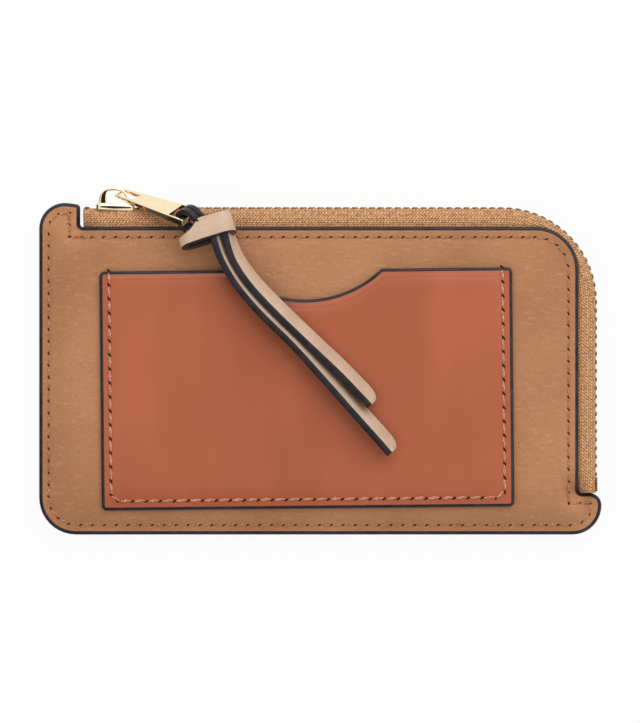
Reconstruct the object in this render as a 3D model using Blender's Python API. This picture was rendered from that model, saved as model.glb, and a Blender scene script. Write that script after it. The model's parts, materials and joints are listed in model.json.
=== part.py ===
"""Zippered coin and card pouch, lying on its back with the zip closed.

+X runs to the right along the front, +Y up towards the zip and +Z out of the front.
The origin is the middle of the back, on the face that the pouch rests on.
"""

import math

import bmesh
import bpy
from mathutils import Matrix, Vector

MM = 0.001

# Overall outline
POUCH_WIDTH = 135.0 * MM
POUCH_HEIGHT = 80.0 * MM
BOTTOM_LEFT_RADIUS = 8.9 * MM
TAB_RADIUS = 6.7 * MM
TAB_HEIGHT = 10.0 * MM
EAR_WIDTH = 9.8 * MM
EAR_RADIUS = 6.2 * MM
EAR_SLOPE_DROP = 0.8 * MM
SMALL_RADIUS = 0.9 * MM
ZIP_EDGE_BELOW_EAR = 6.2 * MM
ZIP_EDGE_INSIDE_TAB = 5.6 * MM
PANEL_CORNER_RADIUS = 10.3 * MM

# Layers, from the back up
PANEL_THICKNESS = 1.1 * MM
LINING_THICKNESS = 0.4 * MM
LAYER_GAP = 0.3 * MM
COMPARTMENT_HEIGHT = 4.6 * MM
EDGE_RISE = 13.0 * MM
FLAP_RISE = 6.0 * MM
FLAP_FLAT = 4.0 * MM
LINING_MARGIN = 0.3 * MM
LINING_FROM_TAPE = 1.8 * MM
LINING_RADIUS = 5.0 * MM
SHEET_OVERHANG = 1.5 * MM
SHEET_SPACING = 11.0 * MM
RAMP_SHARES = (0.0, 0.25, 0.5, 0.75, 1.0)

# Card pocket on the front
POCKET_WIDTH = 98.5 * MM
POCKET_HEIGHT = 57.3 * MM
POCKET_FROM_LEFT = 15.2 * MM
POCKET_FROM_BOTTOM = 6.3 * MM
POCKET_TURN = math.radians(0.58)
POCKET_RADIUS = 1.2 * MM
POCKET_THICKNESS = 1.0 * MM
CARD_ROOM = 0.8 * MM
CARD_RAMP = 8.0 * MM
NOTCH_HALF_WIDTH = 18.1 * MM
NOTCH_DEPTH = 7.9 * MM

# Zip: tape, bead and teeth
CHAIN_ABOVE_PANEL = 4.1 * MM
CHAIN_OUTSIDE_PANEL = 3.8 * MM
CHAIN_CORNER_RADIUS = 20.3 * MM
ZIP_START_GAP = 1.2 * MM
ZIP_END_GAP = 0.4 * MM
TAPE_THICKNESS = 0.5 * MM
TAPE_SEAM = 6.0 * MM
TAPE_BULGE = 0.3 * MM
TAPE_END_DROP = 0.85 * MM
BEAD_HALF_HEIGHT = 0.5 * MM
BEAD_INNER = 0.95 * MM
BEAD_OUTER = 1.65 * MM
TOOTH_PITCH = 2.05 * MM
TOOTH_LENGTH = 0.72 * MM
TOOTH_HALF_HEIGHT = 0.75 * MM
TOOTH_REACH = 0.55 * MM
TOOTH_CLAMP = 0.1 * MM
STOP_LENGTH = 1.1 * MM
BOTTOM_STOP_LENGTH = 3.4 * MM

# Slider
SLIDER_LENGTH = 9.8 * MM
SLIDER_FROM_ZIP_START = 2.5 * MM
SLIDER_WALL = 0.5 * MM
SLIDER_MOUTH_FLARE = 0.5 * MM
SLIDER_PLATE = 0.6 * MM
SLIDER_CLEARANCE = 0.3 * MM
SLIDER_CORNER_RADIUS = 1.3 * MM
SLIDER_EDGE_BEVEL = 0.55 * MM
SLIDER_FLANGE_DROP = 1.3 * MM
INNER_PLATE_HALF_WIDTH = 1.6 * MM
POST_LENGTH = 2.2 * MM
POST_HALF_WIDTH = 0.45 * MM
POST_FROM_MOUTH = 1.0 * MM
BRIDGE_LENGTH = 7.2 * MM
BRIDGE_HEIGHT = 4.0 * MM
BRIDGE_WIDTH = 1.0 * MM
BRIDGE_THICKNESS = 0.6 * MM
BRIDGE_SQUARENESS = 4.0

# Puller, hung from the bridge: its turn below +X, its rise towards the front and its roll
PULLER_LENGTH = 20.6 * MM
PULLER_EYE_WIDTH = 4.0 * MM
PULLER_END_WIDTH = 7.0 * MM
PULLER_EYE_THICKNESS = 0.6 * MM
PULLER_END_THICKNESS = 1.9 * MM
PULLER_BEVEL = 0.15 * MM
PULLER_DROP = math.radians(21.5)
PULLER_RISE = math.radians(27.5)
PULLER_ROLL = math.radians(37.0)
EYE_BAR = 0.6 * MM
EYE_LENGTH = 4.6 * MM
EYE_HALF_WIDTH = 1.3 * MM
END_BAR = 1.3 * MM
STRAP_SLOT_LENGTH = 3.2 * MM
STRAP_SLOT_CLEARANCE = 0.3 * MM
EYE_ABOVE_PLATE = 2.45 * MM
EYE_FROM_BRIDGE_END = 2.0 * MM
EYE_BEHIND_MIDDLE = 0.5 * MM

# Pull strap
STRAP_WIDTH = 5.0 * MM
STRAP_THICKNESS = 1.8 * MM
STRAP_BAR_CLEARANCE = 0.3 * MM
STRAP_LEAN = math.radians(32.0)
STRAP_LIFT = 0.5 * MM
KNOT_HALF_LENGTH = 6.2 * MM
KNOT_DEPTH = 6.4 * MM
KNOT_OFFSET = Vector((5.6, -2.2, -0.6)) * MM
KNOT_TURN = math.radians(17.0)
UPPER_TAIL = ((8.6, -3.2), (10.2, -6.2), (17.0, -16.0), (26.2, -26.8), (35.8, -36.4), (42.8, -42.4))
LOWER_TAIL = ((6.7, -3.6), (8.2, -6.8), (14.2, -17.2), (22.6, -29.2), (33.4, -41.2), (43.0, -50.4), (48.3, -54.4))

# Derived places
LEFT = -POUCH_WIDTH / 2
RIGHT = POUCH_WIDTH / 2
BOTTOM = -POUCH_HEIGHT / 2
TOP = POUCH_HEIGHT / 2
EAR_WALL = LEFT + EAR_WIDTH
PANEL_TOP = TOP - ZIP_EDGE_BELOW_EAR
PANEL_RIGHT = RIGHT - ZIP_EDGE_INSIDE_TAB
TAB_TOP = BOTTOM + TAB_HEIGHT

BACK_LINING_LOW = PANEL_THICKNESS + LAYER_GAP
BACK_LINING_HIGH = BACK_LINING_LOW + LINING_THICKNESS
SEWN_LINING_LOW = BACK_LINING_HIGH + LAYER_GAP
OPEN_LINING_LOW = BACK_LINING_HIGH + COMPARTMENT_HEIGHT
LINING_TO_PANEL = LINING_THICKNESS + LAYER_GAP
SEWN_PANEL_LOW = SEWN_LINING_LOW + LINING_TO_PANEL
OPEN_PANEL_LOW = OPEN_LINING_LOW + LINING_TO_PANEL
OPEN_PANEL_HIGH = OPEN_PANEL_LOW + PANEL_THICKNESS
POCKET_MOST = OPEN_PANEL_HIGH + LAYER_GAP + CARD_ROOM + POCKET_THICKNESS

CHAIN_Y = PANEL_TOP + CHAIN_ABOVE_PANEL
CHAIN_X = PANEL_RIGHT + CHAIN_OUTSIDE_PANEL
CHAIN_Z = (PANEL_THICKNESS + OPEN_PANEL_LOW) / 2
ZIP_START = EAR_WALL + ZIP_START_GAP
ZIP_END = TAB_TOP + ZIP_END_GAP
SEAM_RISE = OPEN_PANEL_LOW - LAYER_GAP - TAPE_THICKNESS / 2 - CHAIN_Z

TOOTH_OUTER = BEAD_OUTER + TOOTH_CLAMP
TAPE_END_RISE = TOOTH_OUTER + LAYER_GAP + TAPE_THICKNESS / 2

SLIDER_LOW_X = ZIP_START + SLIDER_FROM_ZIP_START
SLIDER_HIGH_X = SLIDER_LOW_X + SLIDER_LENGTH
CHANNEL_HALF_HEIGHT = TOOTH_HALF_HEIGHT + SLIDER_CLEARANCE
CHANNEL_HALF_WIDTH = TOOTH_OUTER + SLIDER_CLEARANCE
PLATE_TOP = CHAIN_Y + CHANNEL_HALF_HEIGHT + SLIDER_PLATE
POST_LOW_X = SLIDER_LOW_X + POST_FROM_MOUTH
TEETH_START = POST_LOW_X + POST_LENGTH + SLIDER_CLEARANCE
BRIDGE_X = (SLIDER_LOW_X + SLIDER_HIGH_X) / 2 - SLIDER_MOUTH_FLARE

PULLER_PIVOT = Vector((
    BRIDGE_X + BRIDGE_LENGTH / 2 - EYE_FROM_BRIDGE_END,
    PLATE_TOP + EYE_ABOVE_PLATE,
    CHAIN_Z - EYE_BEHIND_MIDDLE,
))
PULLER_UNDERSIDE = -PULLER_EYE_THICKNESS / 2
STRAP_PIVOT_ALONG = PULLER_LENGTH - END_BAR / 2
STRAP_PIVOT_ABOVE = PULLER_UNDERSIDE + PULLER_END_THICKNESS / 2
STRAP_INNER_RADIUS = math.hypot(END_BAR, PULLER_END_THICKNESS) / 2 + STRAP_BAR_CLEARANCE
STRAP_OUTER_RADIUS = STRAP_INNER_RADIUS + STRAP_THICKNESS

COLOURS = {
    "grained_leather": ((0.49, 0.235, 0.115), 0.55, 0.0),
    "pocket_leather": ((0.48, 0.14, 0.07), 0.38, 0.0),
    "lining_cloth": ((0.36, 0.22, 0.14), 0.8, 0.0),
    "zip_tape": ((0.61, 0.31, 0.13), 0.75, 0.0),
    "zip_metal": ((0.72, 0.5, 0.24), 0.3, 1.0),
    "polished_gold": ((0.93, 0.78, 0.5), 0.12, 1.0),
    "strap_leather": ((0.66, 0.47, 0.34), 0.5, 0.0),
}


def start_scene():
    """Clear the scene and make the collections for parts and cutters."""
    for old in list(bpy.data.objects):
        bpy.data.objects.remove(old, do_unlink=True)
    parts = bpy.data.collections.new("zippered_pouch")
    cutters = bpy.data.collections.new("cutters")
    bpy.context.scene.collection.children.link(parts)
    bpy.context.scene.collection.children.link(cutters)
    return parts, cutters


PARTS, CUTTERS = start_scene()


def finish_material(name):
    """Return the named finish, made once."""
    found = bpy.data.materials.get(name)
    if found:
        return found
    colour, roughness, metallic = COLOURS[name]
    made = bpy.data.materials.new(name)
    made.use_nodes = True
    shader = made.node_tree.nodes["Principled BSDF"]
    shader.inputs["Base Color"].default_value = (*colour, 1.0)
    shader.inputs["Roughness"].default_value = roughness
    shader.inputs["Metallic"].default_value = metallic
    return made


def part(name, mesh, finish, location=(0.0, 0.0, 0.0)):
    """Make a visible piece from a mesh."""
    made = bpy.data.objects.new(name, mesh)
    made.location = location
    mesh.materials.clear()
    mesh.materials.append(finish_material(finish))
    PARTS.objects.link(made)
    return made


def tool(name, mesh):
    """Make a hidden piece that another one is cut or joined with."""
    made = bpy.data.objects.new(name, mesh)
    made.hide_render = True
    made.display_type = "WIRE"
    CUTTERS.objects.link(made)
    return made


def combine(target, other, operation):
    """Add a Boolean with another piece."""
    step = target.modifiers.new(other.name, "BOOLEAN")
    step.operation = operation
    step.solver = "EXACT"
    step.object = other


def to_mesh(name, work):
    """Write a working mesh out as mesh data with its faces outward."""
    bmesh.ops.recalc_face_normals(work, faces=work.faces)
    mesh = bpy.data.meshes.new(name)
    work.to_mesh(mesh)
    work.free()
    return mesh


def rounded_outline(corners, steps=6):
    """Points of a closed outline whose corners (x, y, radius) are rounded by arcs."""
    points = []
    count = len(corners)
    for index, (x, y, radius) in enumerate(corners):
        corner = Vector((x, y))
        before = Vector(corners[index - 1][:2]) - corner
        after = Vector(corners[(index + 1) % count][:2]) - corner
        half_angle = before.angle(after) / 2
        inward = (before.normalized() + after.normalized()).normalized()
        centre = corner + inward * (radius / math.sin(half_angle))
        reach = radius / math.tan(half_angle)
        start = corner + before.normalized() * reach - centre
        end = corner + after.normalized() * reach - centre
        for step in range(steps + 1):
            points.append(centre + start.slerp(end, step / steps) * radius)
    return points


def flat_mesh(name, outline, low, high):
    """Extrude a flat outline between two heights."""
    curve = bpy.data.curves.new(name, "CURVE")
    curve.dimensions = "2D"
    curve.fill_mode = "BOTH"
    curve.extrude = (high - low) / 2
    spline = curve.splines.new("POLY")
    spline.points.add(len(outline) - 1)
    for point, (x, y) in zip(spline.points, outline):
        point.co = (x, y, 0.0, 1.0)
    spline.use_cyclic_u = True
    holder = bpy.data.objects.new(name, curve)
    CUTTERS.objects.link(holder)
    graph = bpy.context.evaluated_depsgraph_get()
    mesh = bpy.data.meshes.new_from_object(holder.evaluated_get(graph))
    bpy.data.objects.remove(holder)
    work = bmesh.new()
    work.from_mesh(mesh)
    bpy.data.meshes.remove(mesh)
    bmesh.ops.remove_doubles(work, verts=work.verts, dist=0.001 * MM)
    bmesh.ops.translate(work, verts=work.verts, vec=(0.0, 0.0, (low + high) / 2))
    return to_mesh(name, work)


def loft_mesh(name, rings):
    """Close a body over a row of like rings of points."""
    work = bmesh.new()
    loops = [[work.verts.new(point) for point in ring] for ring in rings]
    for first, second in zip(loops, loops[1:]):
        for index in range(len(first)):
            after = (index + 1) % len(first)
            work.faces.new((first[index], first[after], second[after], second[index]))
    work.faces.new(loops[0])
    work.faces.new(loops[-1])
    return to_mesh(name, work)


def box_mesh(name, low, high, bevel=0.0):
    """Make a box between two corners, with its edges rounded over."""
    work = bmesh.new()
    bmesh.ops.create_cube(work, size=1.0)
    size = Vector(high) - Vector(low)
    middle = (Vector(high) + Vector(low)) / 2
    bmesh.ops.scale(work, vec=size, verts=work.verts)
    if bevel:
        bmesh.ops.bevel(work, geom=work.edges, offset=bevel, segments=2, affect="EDGES", profile=0.5)
    bmesh.ops.translate(work, vec=middle, verts=work.verts)
    return to_mesh(name, work)


def ease(value):
    """Rise smoothly from 0 at 0 to 1 at 1, and stay within both."""
    return math.sin(min(max(value, 0.0), 1.0) * math.pi / 2)


def flap_ease(along, across):
    """Share of the lift left near the ear or the tab, sewn flat where along > 0 and across < 0."""
    past = along if across < 0 else min(along, 0.0)
    distance = math.hypot(min(past, 0.0), across)
    return ease(distance / FLAP_RISE) * (1.0 - ease(past / FLAP_FLAT))


def lift(x, y):
    """Share of the full lift of the front at a point: none at the sewn edges, all at the zip."""
    sewn = ease((x - LEFT) / EDGE_RISE) * ease((y - BOTTOM) / EDGE_RISE)
    return sewn * flap_ease(y - PANEL_TOP, x - EAR_WALL) * flap_ease(x - PANEL_RIGHT, y - TAB_TOP)


def panel_low(x, y):
    """Height of the front panel's underside."""
    return SEWN_PANEL_LOW + (OPEN_PANEL_LOW - SEWN_PANEL_LOW) * lift(x, y)


def lining_low(x, y):
    """Height of the front lining's underside."""
    return panel_low(x, y) - LINING_TO_PANEL


def pocket_frame():
    """Middle of the pocket and the directions of its width and height."""
    middle = Vector((
        LEFT + POCKET_FROM_LEFT + POCKET_WIDTH / 2,
        BOTTOM + POCKET_FROM_BOTTOM + POCKET_HEIGHT / 2,
    ))
    across = Vector((math.cos(POCKET_TURN), math.sin(POCKET_TURN)))
    up = Vector((-across.y, across.x))
    return middle, across, up


def pocket_low(x, y):
    """Height of the pocket's underside: close to the panel at the sewn edges, with room for a card inside."""
    middle, across, up = pocket_frame()
    offset = Vector((x, y)) - middle
    side = POCKET_WIDTH / 2 - abs(offset.dot(across))
    above = POCKET_HEIGHT / 2 + offset.dot(up)
    room = CARD_ROOM * ease(side / CARD_RAMP) * ease(above / CARD_RAMP)
    return panel_low(x, y) + PANEL_THICKNESS + LAYER_GAP + room


def sheet_lines(marks, spacing):
    """Grid lines across a sheet: one at each mark, and more where two marks are far apart."""
    ordered = sorted(marks)
    lines = []
    for start, end in zip(ordered, ordered[1:]):
        count = max(1, math.ceil((end - start) / spacing))
        lines += [start + (end - start) * index / count for index in range(count)]
    return lines + [ordered[-1]]


def sheet_mesh(name, xs, ys, underside, thickness):
    """A soft sheet: a grid lifted to its underside's height, with an even thickness."""
    columns = len(xs) - 1
    rows = len(ys) - 1
    work = bmesh.new()
    bmesh.ops.create_grid(work, x_segments=columns, y_segments=rows, size=1.0)
    for vert in work.verts:
        x = xs[round((vert.co.x + 1) / 2 * columns)]
        y = ys[round((vert.co.y + 1) / 2 * rows)]
        vert.co = (x, y, underside(x, y))
    raised = bmesh.ops.extrude_face_region(work, geom=work.faces[:])
    top = [item for item in raised["geom"] if isinstance(item, bmesh.types.BMVert)]
    bmesh.ops.translate(work, verts=top, vec=(0.0, 0.0, thickness))
    return to_mesh(name, work)


def cut_sheet(name, outline, finish, xs, ys, underside, thickness):
    """Cut a soft sheet to an outline."""
    body = part(name, sheet_mesh(name, xs, ys, underside, thickness), finish)
    highest = POCKET_MOST + thickness
    punch = tool(name + "_outline", flat_mesh(name + "_outline", outline, -thickness, highest))
    combine(body, punch, "INTERSECT")
    return body


def panel_outline():
    """Outline of the front and back panels, with the ear, the tab and the corner under the zip."""
    return rounded_outline((
        (LEFT, BOTTOM, BOTTOM_LEFT_RADIUS),
        (RIGHT, BOTTOM, TAB_RADIUS),
        (RIGHT, TAB_TOP, SMALL_RADIUS),
        (PANEL_RIGHT, TAB_TOP, SMALL_RADIUS),
        (PANEL_RIGHT, PANEL_TOP, PANEL_CORNER_RADIUS),
        (EAR_WALL, PANEL_TOP, SMALL_RADIUS),
        (EAR_WALL, TOP - EAR_SLOPE_DROP, SMALL_RADIUS),
        (LEFT, TOP, EAR_RADIUS),
    ))


def lining_outline():
    """Outline of both linings: inside the sewn edges, and up to the edge of the zip tape."""
    tape_edge = TAPE_SEAM + LINING_FROM_TAPE
    left = LEFT + LINING_MARGIN
    bottom = BOTTOM + LINING_MARGIN
    right = PANEL_RIGHT - tape_edge
    top = PANEL_TOP - tape_edge
    return rounded_outline((
        (left, bottom, BOTTOM_LEFT_RADIUS),
        (right, bottom, LINING_RADIUS),
        (right, top, LINING_RADIUS),
        (left, top, LINING_RADIUS),
    ))


def pocket_outline():
    """Outline of the card pocket, with a half ellipse cut out of its mouth for the thumb."""
    middle, across, up = pocket_frame()
    half_width = POCKET_WIDTH / 2
    half_height = POCKET_HEIGHT / 2
    corners = (
        (-half_width, -half_height, POCKET_RADIUS),
        (half_width, -half_height, POCKET_RADIUS),
        (half_width, half_height, POCKET_RADIUS),
        (-half_width, half_height, POCKET_RADIUS),
    )
    plain = rounded_outline(corners, steps=4)
    notch_steps = 20
    notch = []
    for step in range(notch_steps + 1):
        angle = math.pi * step / notch_steps
        along = NOTCH_HALF_WIDTH * math.cos(angle)
        notch.append(Vector((along, half_height - NOTCH_DEPTH * math.sin(angle))))
    left_corner_points = len(plain) // len(corners)
    flat = plain[:-left_corner_points] + notch + plain[-left_corner_points:]
    return [middle + across * point.x + up * point.y for point in flat]


def make_panels():
    """Leather panels, linings and the card pocket."""
    overhang = SHEET_OVERHANG
    rise = [EDGE_RISE * share for share in RAMP_SHARES]
    flap = [FLAP_RISE * share for share in RAMP_SHARES]
    xs = [LEFT - overhang, RIGHT, RIGHT + overhang]
    xs += [LEFT + step for step in rise]
    xs += [EAR_WALL + step for step in flap]
    xs += [PANEL_RIGHT - step for step in flap]
    ys = [BOTTOM - overhang, TOP, TOP + overhang]
    ys += [BOTTOM + step for step in rise]
    ys += [TAB_TOP + step for step in flap]
    ys += [PANEL_TOP - step for step in flap]
    xs = sheet_lines(xs, SHEET_SPACING)
    ys = sheet_lines(ys, SHEET_SPACING)
    outline = panel_outline()
    part("back_panel", flat_mesh("back_panel", outline, 0.0, PANEL_THICKNESS), "grained_leather")
    cut_sheet("front_panel", outline, "grained_leather", xs, ys, panel_low, PANEL_THICKNESS)
    inner = lining_outline()
    back_lining = flat_mesh("back_lining", inner, BACK_LINING_LOW, BACK_LINING_HIGH)
    part("back_lining", back_lining, "lining_cloth")
    cut_sheet("front_lining", inner, "lining_cloth", xs, ys, lining_low, LINING_THICKNESS)

    pocket = pocket_outline()
    low = Vector((min(point.x for point in pocket), min(point.y for point in pocket)))
    high = Vector((max(point.x for point in pocket), max(point.y for point in pocket)))
    ramp = [CARD_RAMP * share for share in RAMP_SHARES]
    pocket_xs = [low.x - overhang, high.x + overhang]
    pocket_xs += [low.x + step for step in ramp]
    pocket_xs += [high.x - step for step in ramp]
    pocket_ys = [low.y - overhang, BOTTOM + EDGE_RISE, high.y + overhang]
    pocket_ys += [low.y + step for step in ramp]
    cut_sheet(
        "front_pocket",
        pocket,
        "pocket_leather",
        sheet_lines(pocket_xs, SHEET_SPACING),
        sheet_lines(pocket_ys, SHEET_SPACING),
        pocket_low,
        POCKET_THICKNESS,
    )


def chain_lengths():
    """Lengths of the top run, the corner and the right run of the zip's centre line."""
    top_run = CHAIN_X - CHAIN_CORNER_RADIUS - ZIP_START
    corner = CHAIN_CORNER_RADIUS * math.pi / 2
    right_run = CHAIN_Y - CHAIN_CORNER_RADIUS - ZIP_END
    return top_run, corner, right_run


def chain_at(distance):
    """Point on the zip's centre line and its outward direction, by distance from its closed end."""
    top_run, corner, _ = chain_lengths()
    centre = Vector((CHAIN_X - CHAIN_CORNER_RADIUS, CHAIN_Y - CHAIN_CORNER_RADIUS))
    if distance <= top_run:
        return Vector((ZIP_START + distance, CHAIN_Y)), Vector((0.0, 1.0))
    if distance <= top_run + corner:
        turn = (distance - top_run) / CHAIN_CORNER_RADIUS
        outward = Vector((math.sin(turn), math.cos(turn)))
        return centre + outward * CHAIN_CORNER_RADIUS, outward
    return Vector((CHAIN_X, centre.y - (distance - top_run - corner))), Vector((1.0, 0.0))


def panel_gap(point, outward):
    """Distance from the zip's centre line in to the panel's edge."""
    def outside(distance):
        spot = point - outward * distance
        across = spot.x - (PANEL_RIGHT - PANEL_CORNER_RADIUS)
        along = spot.y - (PANEL_TOP - PANEL_CORNER_RADIUS)
        if across > 0 and along > 0:
            return math.hypot(across, along) > PANEL_CORNER_RADIUS
        return max(across, along) > PANEL_CORNER_RADIUS

    near = 0.0
    far = CHAIN_CORNER_RADIUS
    for _ in range(30):
        middle = (near + far) / 2
        if outside(middle):
            near = middle
        else:
            far = middle
    return far


def tape_section(point, outward, side):
    """Cross-section of a tape as (distance in from the centre line, height) on both of its faces."""
    gap = panel_gap(point, outward)
    edge = point - outward * gap
    seam_rise = SEAM_RISE
    if side > 0:
        seam_rise = min(SEAM_RISE, panel_low(*edge) - LAYER_GAP - TAPE_THICKNESS / 2 - CHAIN_Z)
    span = gap - TAPE_END_DROP
    bulge = TAPE_BULGE * ease(span / CHAIN_OUTSIDE_PANEL)
    middle = (
        (TAPE_END_DROP, TAPE_END_RISE),
        (TAPE_END_DROP + span * 0.15, SEAM_RISE + bulge * 0.6),
        (TAPE_END_DROP + span * 0.4, SEAM_RISE + bulge),
        (TAPE_END_DROP + span * 0.7, (SEAM_RISE + seam_rise) / 2 + bulge * 0.5),
        (TAPE_END_DROP + span * 0.92, seam_rise),
        (gap + TAPE_SEAM, seam_rise),
    )
    upper = []
    lower = []
    for index, (inward, rise) in enumerate(middle):
        before = Vector(middle[max(index - 1, 0)])
        after = Vector(middle[min(index + 1, len(middle) - 1)])
        along = (after - before).normalized()
        offset = Vector((-along.y, along.x)) * TAPE_THICKNESS / 2
        upper.append(Vector((inward, rise)) + offset)
        lower.append(Vector((inward, rise)) - offset)
    return upper + lower[::-1]


def tape_stations():
    """Distances along the zip at which the tape's section is set."""
    top_run, corner, right_run = chain_lengths()
    whole = top_run + corner + right_run
    start = [FLAP_RISE * share for share in RAMP_SHARES]
    turn_steps = 10
    turn = [top_run + corner * step / turn_steps for step in range(turn_steps + 1)]
    end = [whole - FLAP_RISE * share for share in reversed(RAMP_SHARES)]
    return start + turn + end


def make_tape(name, side):
    """One of the two zip tapes: side is 1 for the front and -1 for the back."""
    rings = []
    for distance in tape_stations():
        point, outward = chain_at(distance)
        ring = []
        for inward, rise in tape_section(point, outward, side):
            spot = point - outward * inward
            ring.append((spot.x, spot.y, CHAIN_Z + side * rise))
        rings.append(ring)
    part(name, loft_mesh(name, rings), "zip_tape")


def row_ring(distance, side, inner, outer, half_height):
    """Cross-section of a row of teeth at a distance along the zip."""
    point, outward = chain_at(distance)
    ring = []
    for rise, height in ((inner, -half_height), (outer, -half_height), (outer, half_height), (inner, half_height)):
        spot = point + outward * height
        ring.append((spot.x, spot.y, CHAIN_Z + side * rise))
    return ring


def make_teeth(name, side):
    """One row of teeth clamped on its bead; the other row is half a pitch further along."""
    top_run, corner, right_run = chain_lengths()
    first = TEETH_START - ZIP_START
    last = top_run + corner + right_run - BOTTOM_STOP_LENGTH - LAYER_GAP
    bead = (BEAD_INNER, BEAD_OUTER, BEAD_HALF_HEIGHT)
    tooth = (-TOOTH_REACH, TOOTH_OUTER, TOOTH_HALF_HEIGHT)
    rings = [row_ring(STOP_LENGTH + LAYER_GAP, side, *bead)]
    shift = 0.0 if side > 0 else TOOTH_PITCH / 2
    count = int((last - first - shift - TOOTH_LENGTH) / TOOTH_PITCH)
    for index in range(count):
        low = first + shift + index * TOOTH_PITCH
        high = low + TOOTH_LENGTH
        rings.append(row_ring(low, side, *bead))
        rings.append(row_ring(low, side, *tooth))
        rings.append(row_ring(high, side, *tooth))
        rings.append(row_ring(high, side, *bead))
    rings.append(row_ring(last, side, *bead))
    part(name, loft_mesh(name, rings), "zip_metal")


def make_stops():
    """Two stops at the closed end, and one across both tapes at the open end."""
    for name, side in (("front_top_stop", 1), ("back_top_stop", -1)):
        rings = [row_ring(distance, side, BEAD_INNER, TOOTH_OUTER, TOOTH_HALF_HEIGHT) for distance in (0.0, STOP_LENGTH)]
        part(name, loft_mesh(name, rings), "zip_metal")
    whole = sum(chain_lengths())
    ends = (whole - BOTTOM_STOP_LENGTH, whole)
    rings = [row_ring(distance, 1, -TOOTH_OUTER, TOOTH_OUTER, TOOTH_HALF_HEIGHT) for distance in ends]
    part("bottom_stop", loft_mesh("bottom_stop", rings), "zip_metal")


def upright_mesh(name, outline, low_y, high_y, bevel=0.0):
    """Extrude an outline drawn in X and Z between two places in Y."""
    work = bmesh.new()
    flat = flat_mesh(name, outline, -high_y, -low_y)
    work.from_mesh(flat)
    bpy.data.meshes.remove(flat)
    if bevel:
        sharp = [edge for edge in work.edges if edge.calc_face_angle(0.0) > math.radians(60)]
        bmesh.ops.bevel(work, geom=sharp, offset=bevel, segments=2, affect="EDGES", profile=0.5)
    bmesh.ops.rotate(work, verts=work.verts, cent=(0.0, 0.0, 0.0), matrix=Matrix.Rotation(math.pi / 2, 3, "X"))
    return to_mesh(name, work)


def slider_outline(mouth_half, tail_half, radius, stretch=0.0):
    """Plan of the slider in X and Z: wider at its mouth, narrower at its tail."""
    low = SLIDER_LOW_X - stretch
    high = SLIDER_HIGH_X + stretch
    return rounded_outline((
        (low, CHAIN_Z - mouth_half, radius),
        (high, CHAIN_Z - tail_half, radius),
        (high, CHAIN_Z + tail_half, radius),
        (low, CHAIN_Z + mouth_half, radius),
    ), steps=4)


def bridge_mesh():
    """Arch over the slider that the puller hangs on."""
    rings = []
    steps = 12
    foot = PLATE_TOP - SLIDER_PLATE / 2
    for step in range(steps + 1):
        angle = math.pi * (1.0 - step / steps)
        ring = []
        for inset, side in ((0.0, -1), (0.0, 1), (BRIDGE_THICKNESS, 1), (BRIDGE_THICKNESS, -1)):
            power = 2.0 / BRIDGE_SQUARENESS
            along = math.copysign(abs(math.cos(angle)) ** power, math.cos(angle))
            up = max(math.sin(angle), 0.0) ** power
            x = BRIDGE_X + (BRIDGE_LENGTH / 2 - inset) * along
            y = foot + (BRIDGE_HEIGHT + SLIDER_PLATE / 2 - inset) * up
            ring.append((x, y, CHAIN_Z + side * BRIDGE_WIDTH / 2))
        rings.append(ring)
    return loft_mesh("slider_bridge", rings)


def make_slider():
    """Slider: an outer plate with side walls, an inner plate, the post between them and the bridge."""
    tail_half = CHANNEL_HALF_WIDTH + SLIDER_WALL
    mouth_half = tail_half + SLIDER_MOUTH_FLARE
    wall_low = CHAIN_Y + CHANNEL_HALF_HEIGHT - SLIDER_FLANGE_DROP
    shell = upright_mesh(
        "slider",
        slider_outline(mouth_half, tail_half, SLIDER_CORNER_RADIUS),
        wall_low,
        PLATE_TOP,
        SLIDER_EDGE_BEVEL,
    )
    body = part("slider", shell, "polished_gold")
    channel = upright_mesh(
        "slider_channel",
        slider_outline(CHANNEL_HALF_WIDTH + SLIDER_MOUTH_FLARE, CHANNEL_HALF_WIDTH, SLIDER_WALL, SLIDER_WALL),
        wall_low - SLIDER_PLATE,
        CHAIN_Y + CHANNEL_HALF_HEIGHT,
    )
    combine(body, tool("slider_channel", channel), "DIFFERENCE")
    post_low = (POST_LOW_X, CHAIN_Y - CHANNEL_HALF_HEIGHT - SLIDER_PLATE / 2, CHAIN_Z - POST_HALF_WIDTH)
    post_high = (POST_LOW_X + POST_LENGTH, PLATE_TOP - SLIDER_PLATE / 2, CHAIN_Z + POST_HALF_WIDTH)
    combine(body, tool("slider_post", box_mesh("slider_post", post_low, post_high)), "UNION")
    inner = upright_mesh(
        "slider_inner_plate",
        slider_outline(INNER_PLATE_HALF_WIDTH, INNER_PLATE_HALF_WIDTH, SLIDER_CORNER_RADIUS),
        CHAIN_Y - CHANNEL_HALF_HEIGHT - SLIDER_PLATE,
        CHAIN_Y - CHANNEL_HALF_HEIGHT,
    )
    combine(body, tool("slider_inner_plate", inner), "UNION")
    combine(body, tool("slider_bridge", bridge_mesh()), "UNION")


def puller_frame():
    """Turn of the puller: its length along local X, its thickness along local Z."""
    flat = Vector((math.cos(PULLER_DROP), -math.sin(PULLER_DROP), 0.0))
    beside = Vector((math.sin(PULLER_DROP), math.cos(PULLER_DROP), 0.0))
    front = Vector((0.0, 0.0, 1.0))
    along = flat * math.cos(PULLER_RISE) + front * math.sin(PULLER_RISE)
    up = front * math.cos(PULLER_RISE) - flat * math.sin(PULLER_RISE)
    face = beside * math.cos(PULLER_ROLL) + up * math.sin(PULLER_ROLL)
    side = face.cross(along)
    return Matrix((along, side, face)).transposed()


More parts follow.
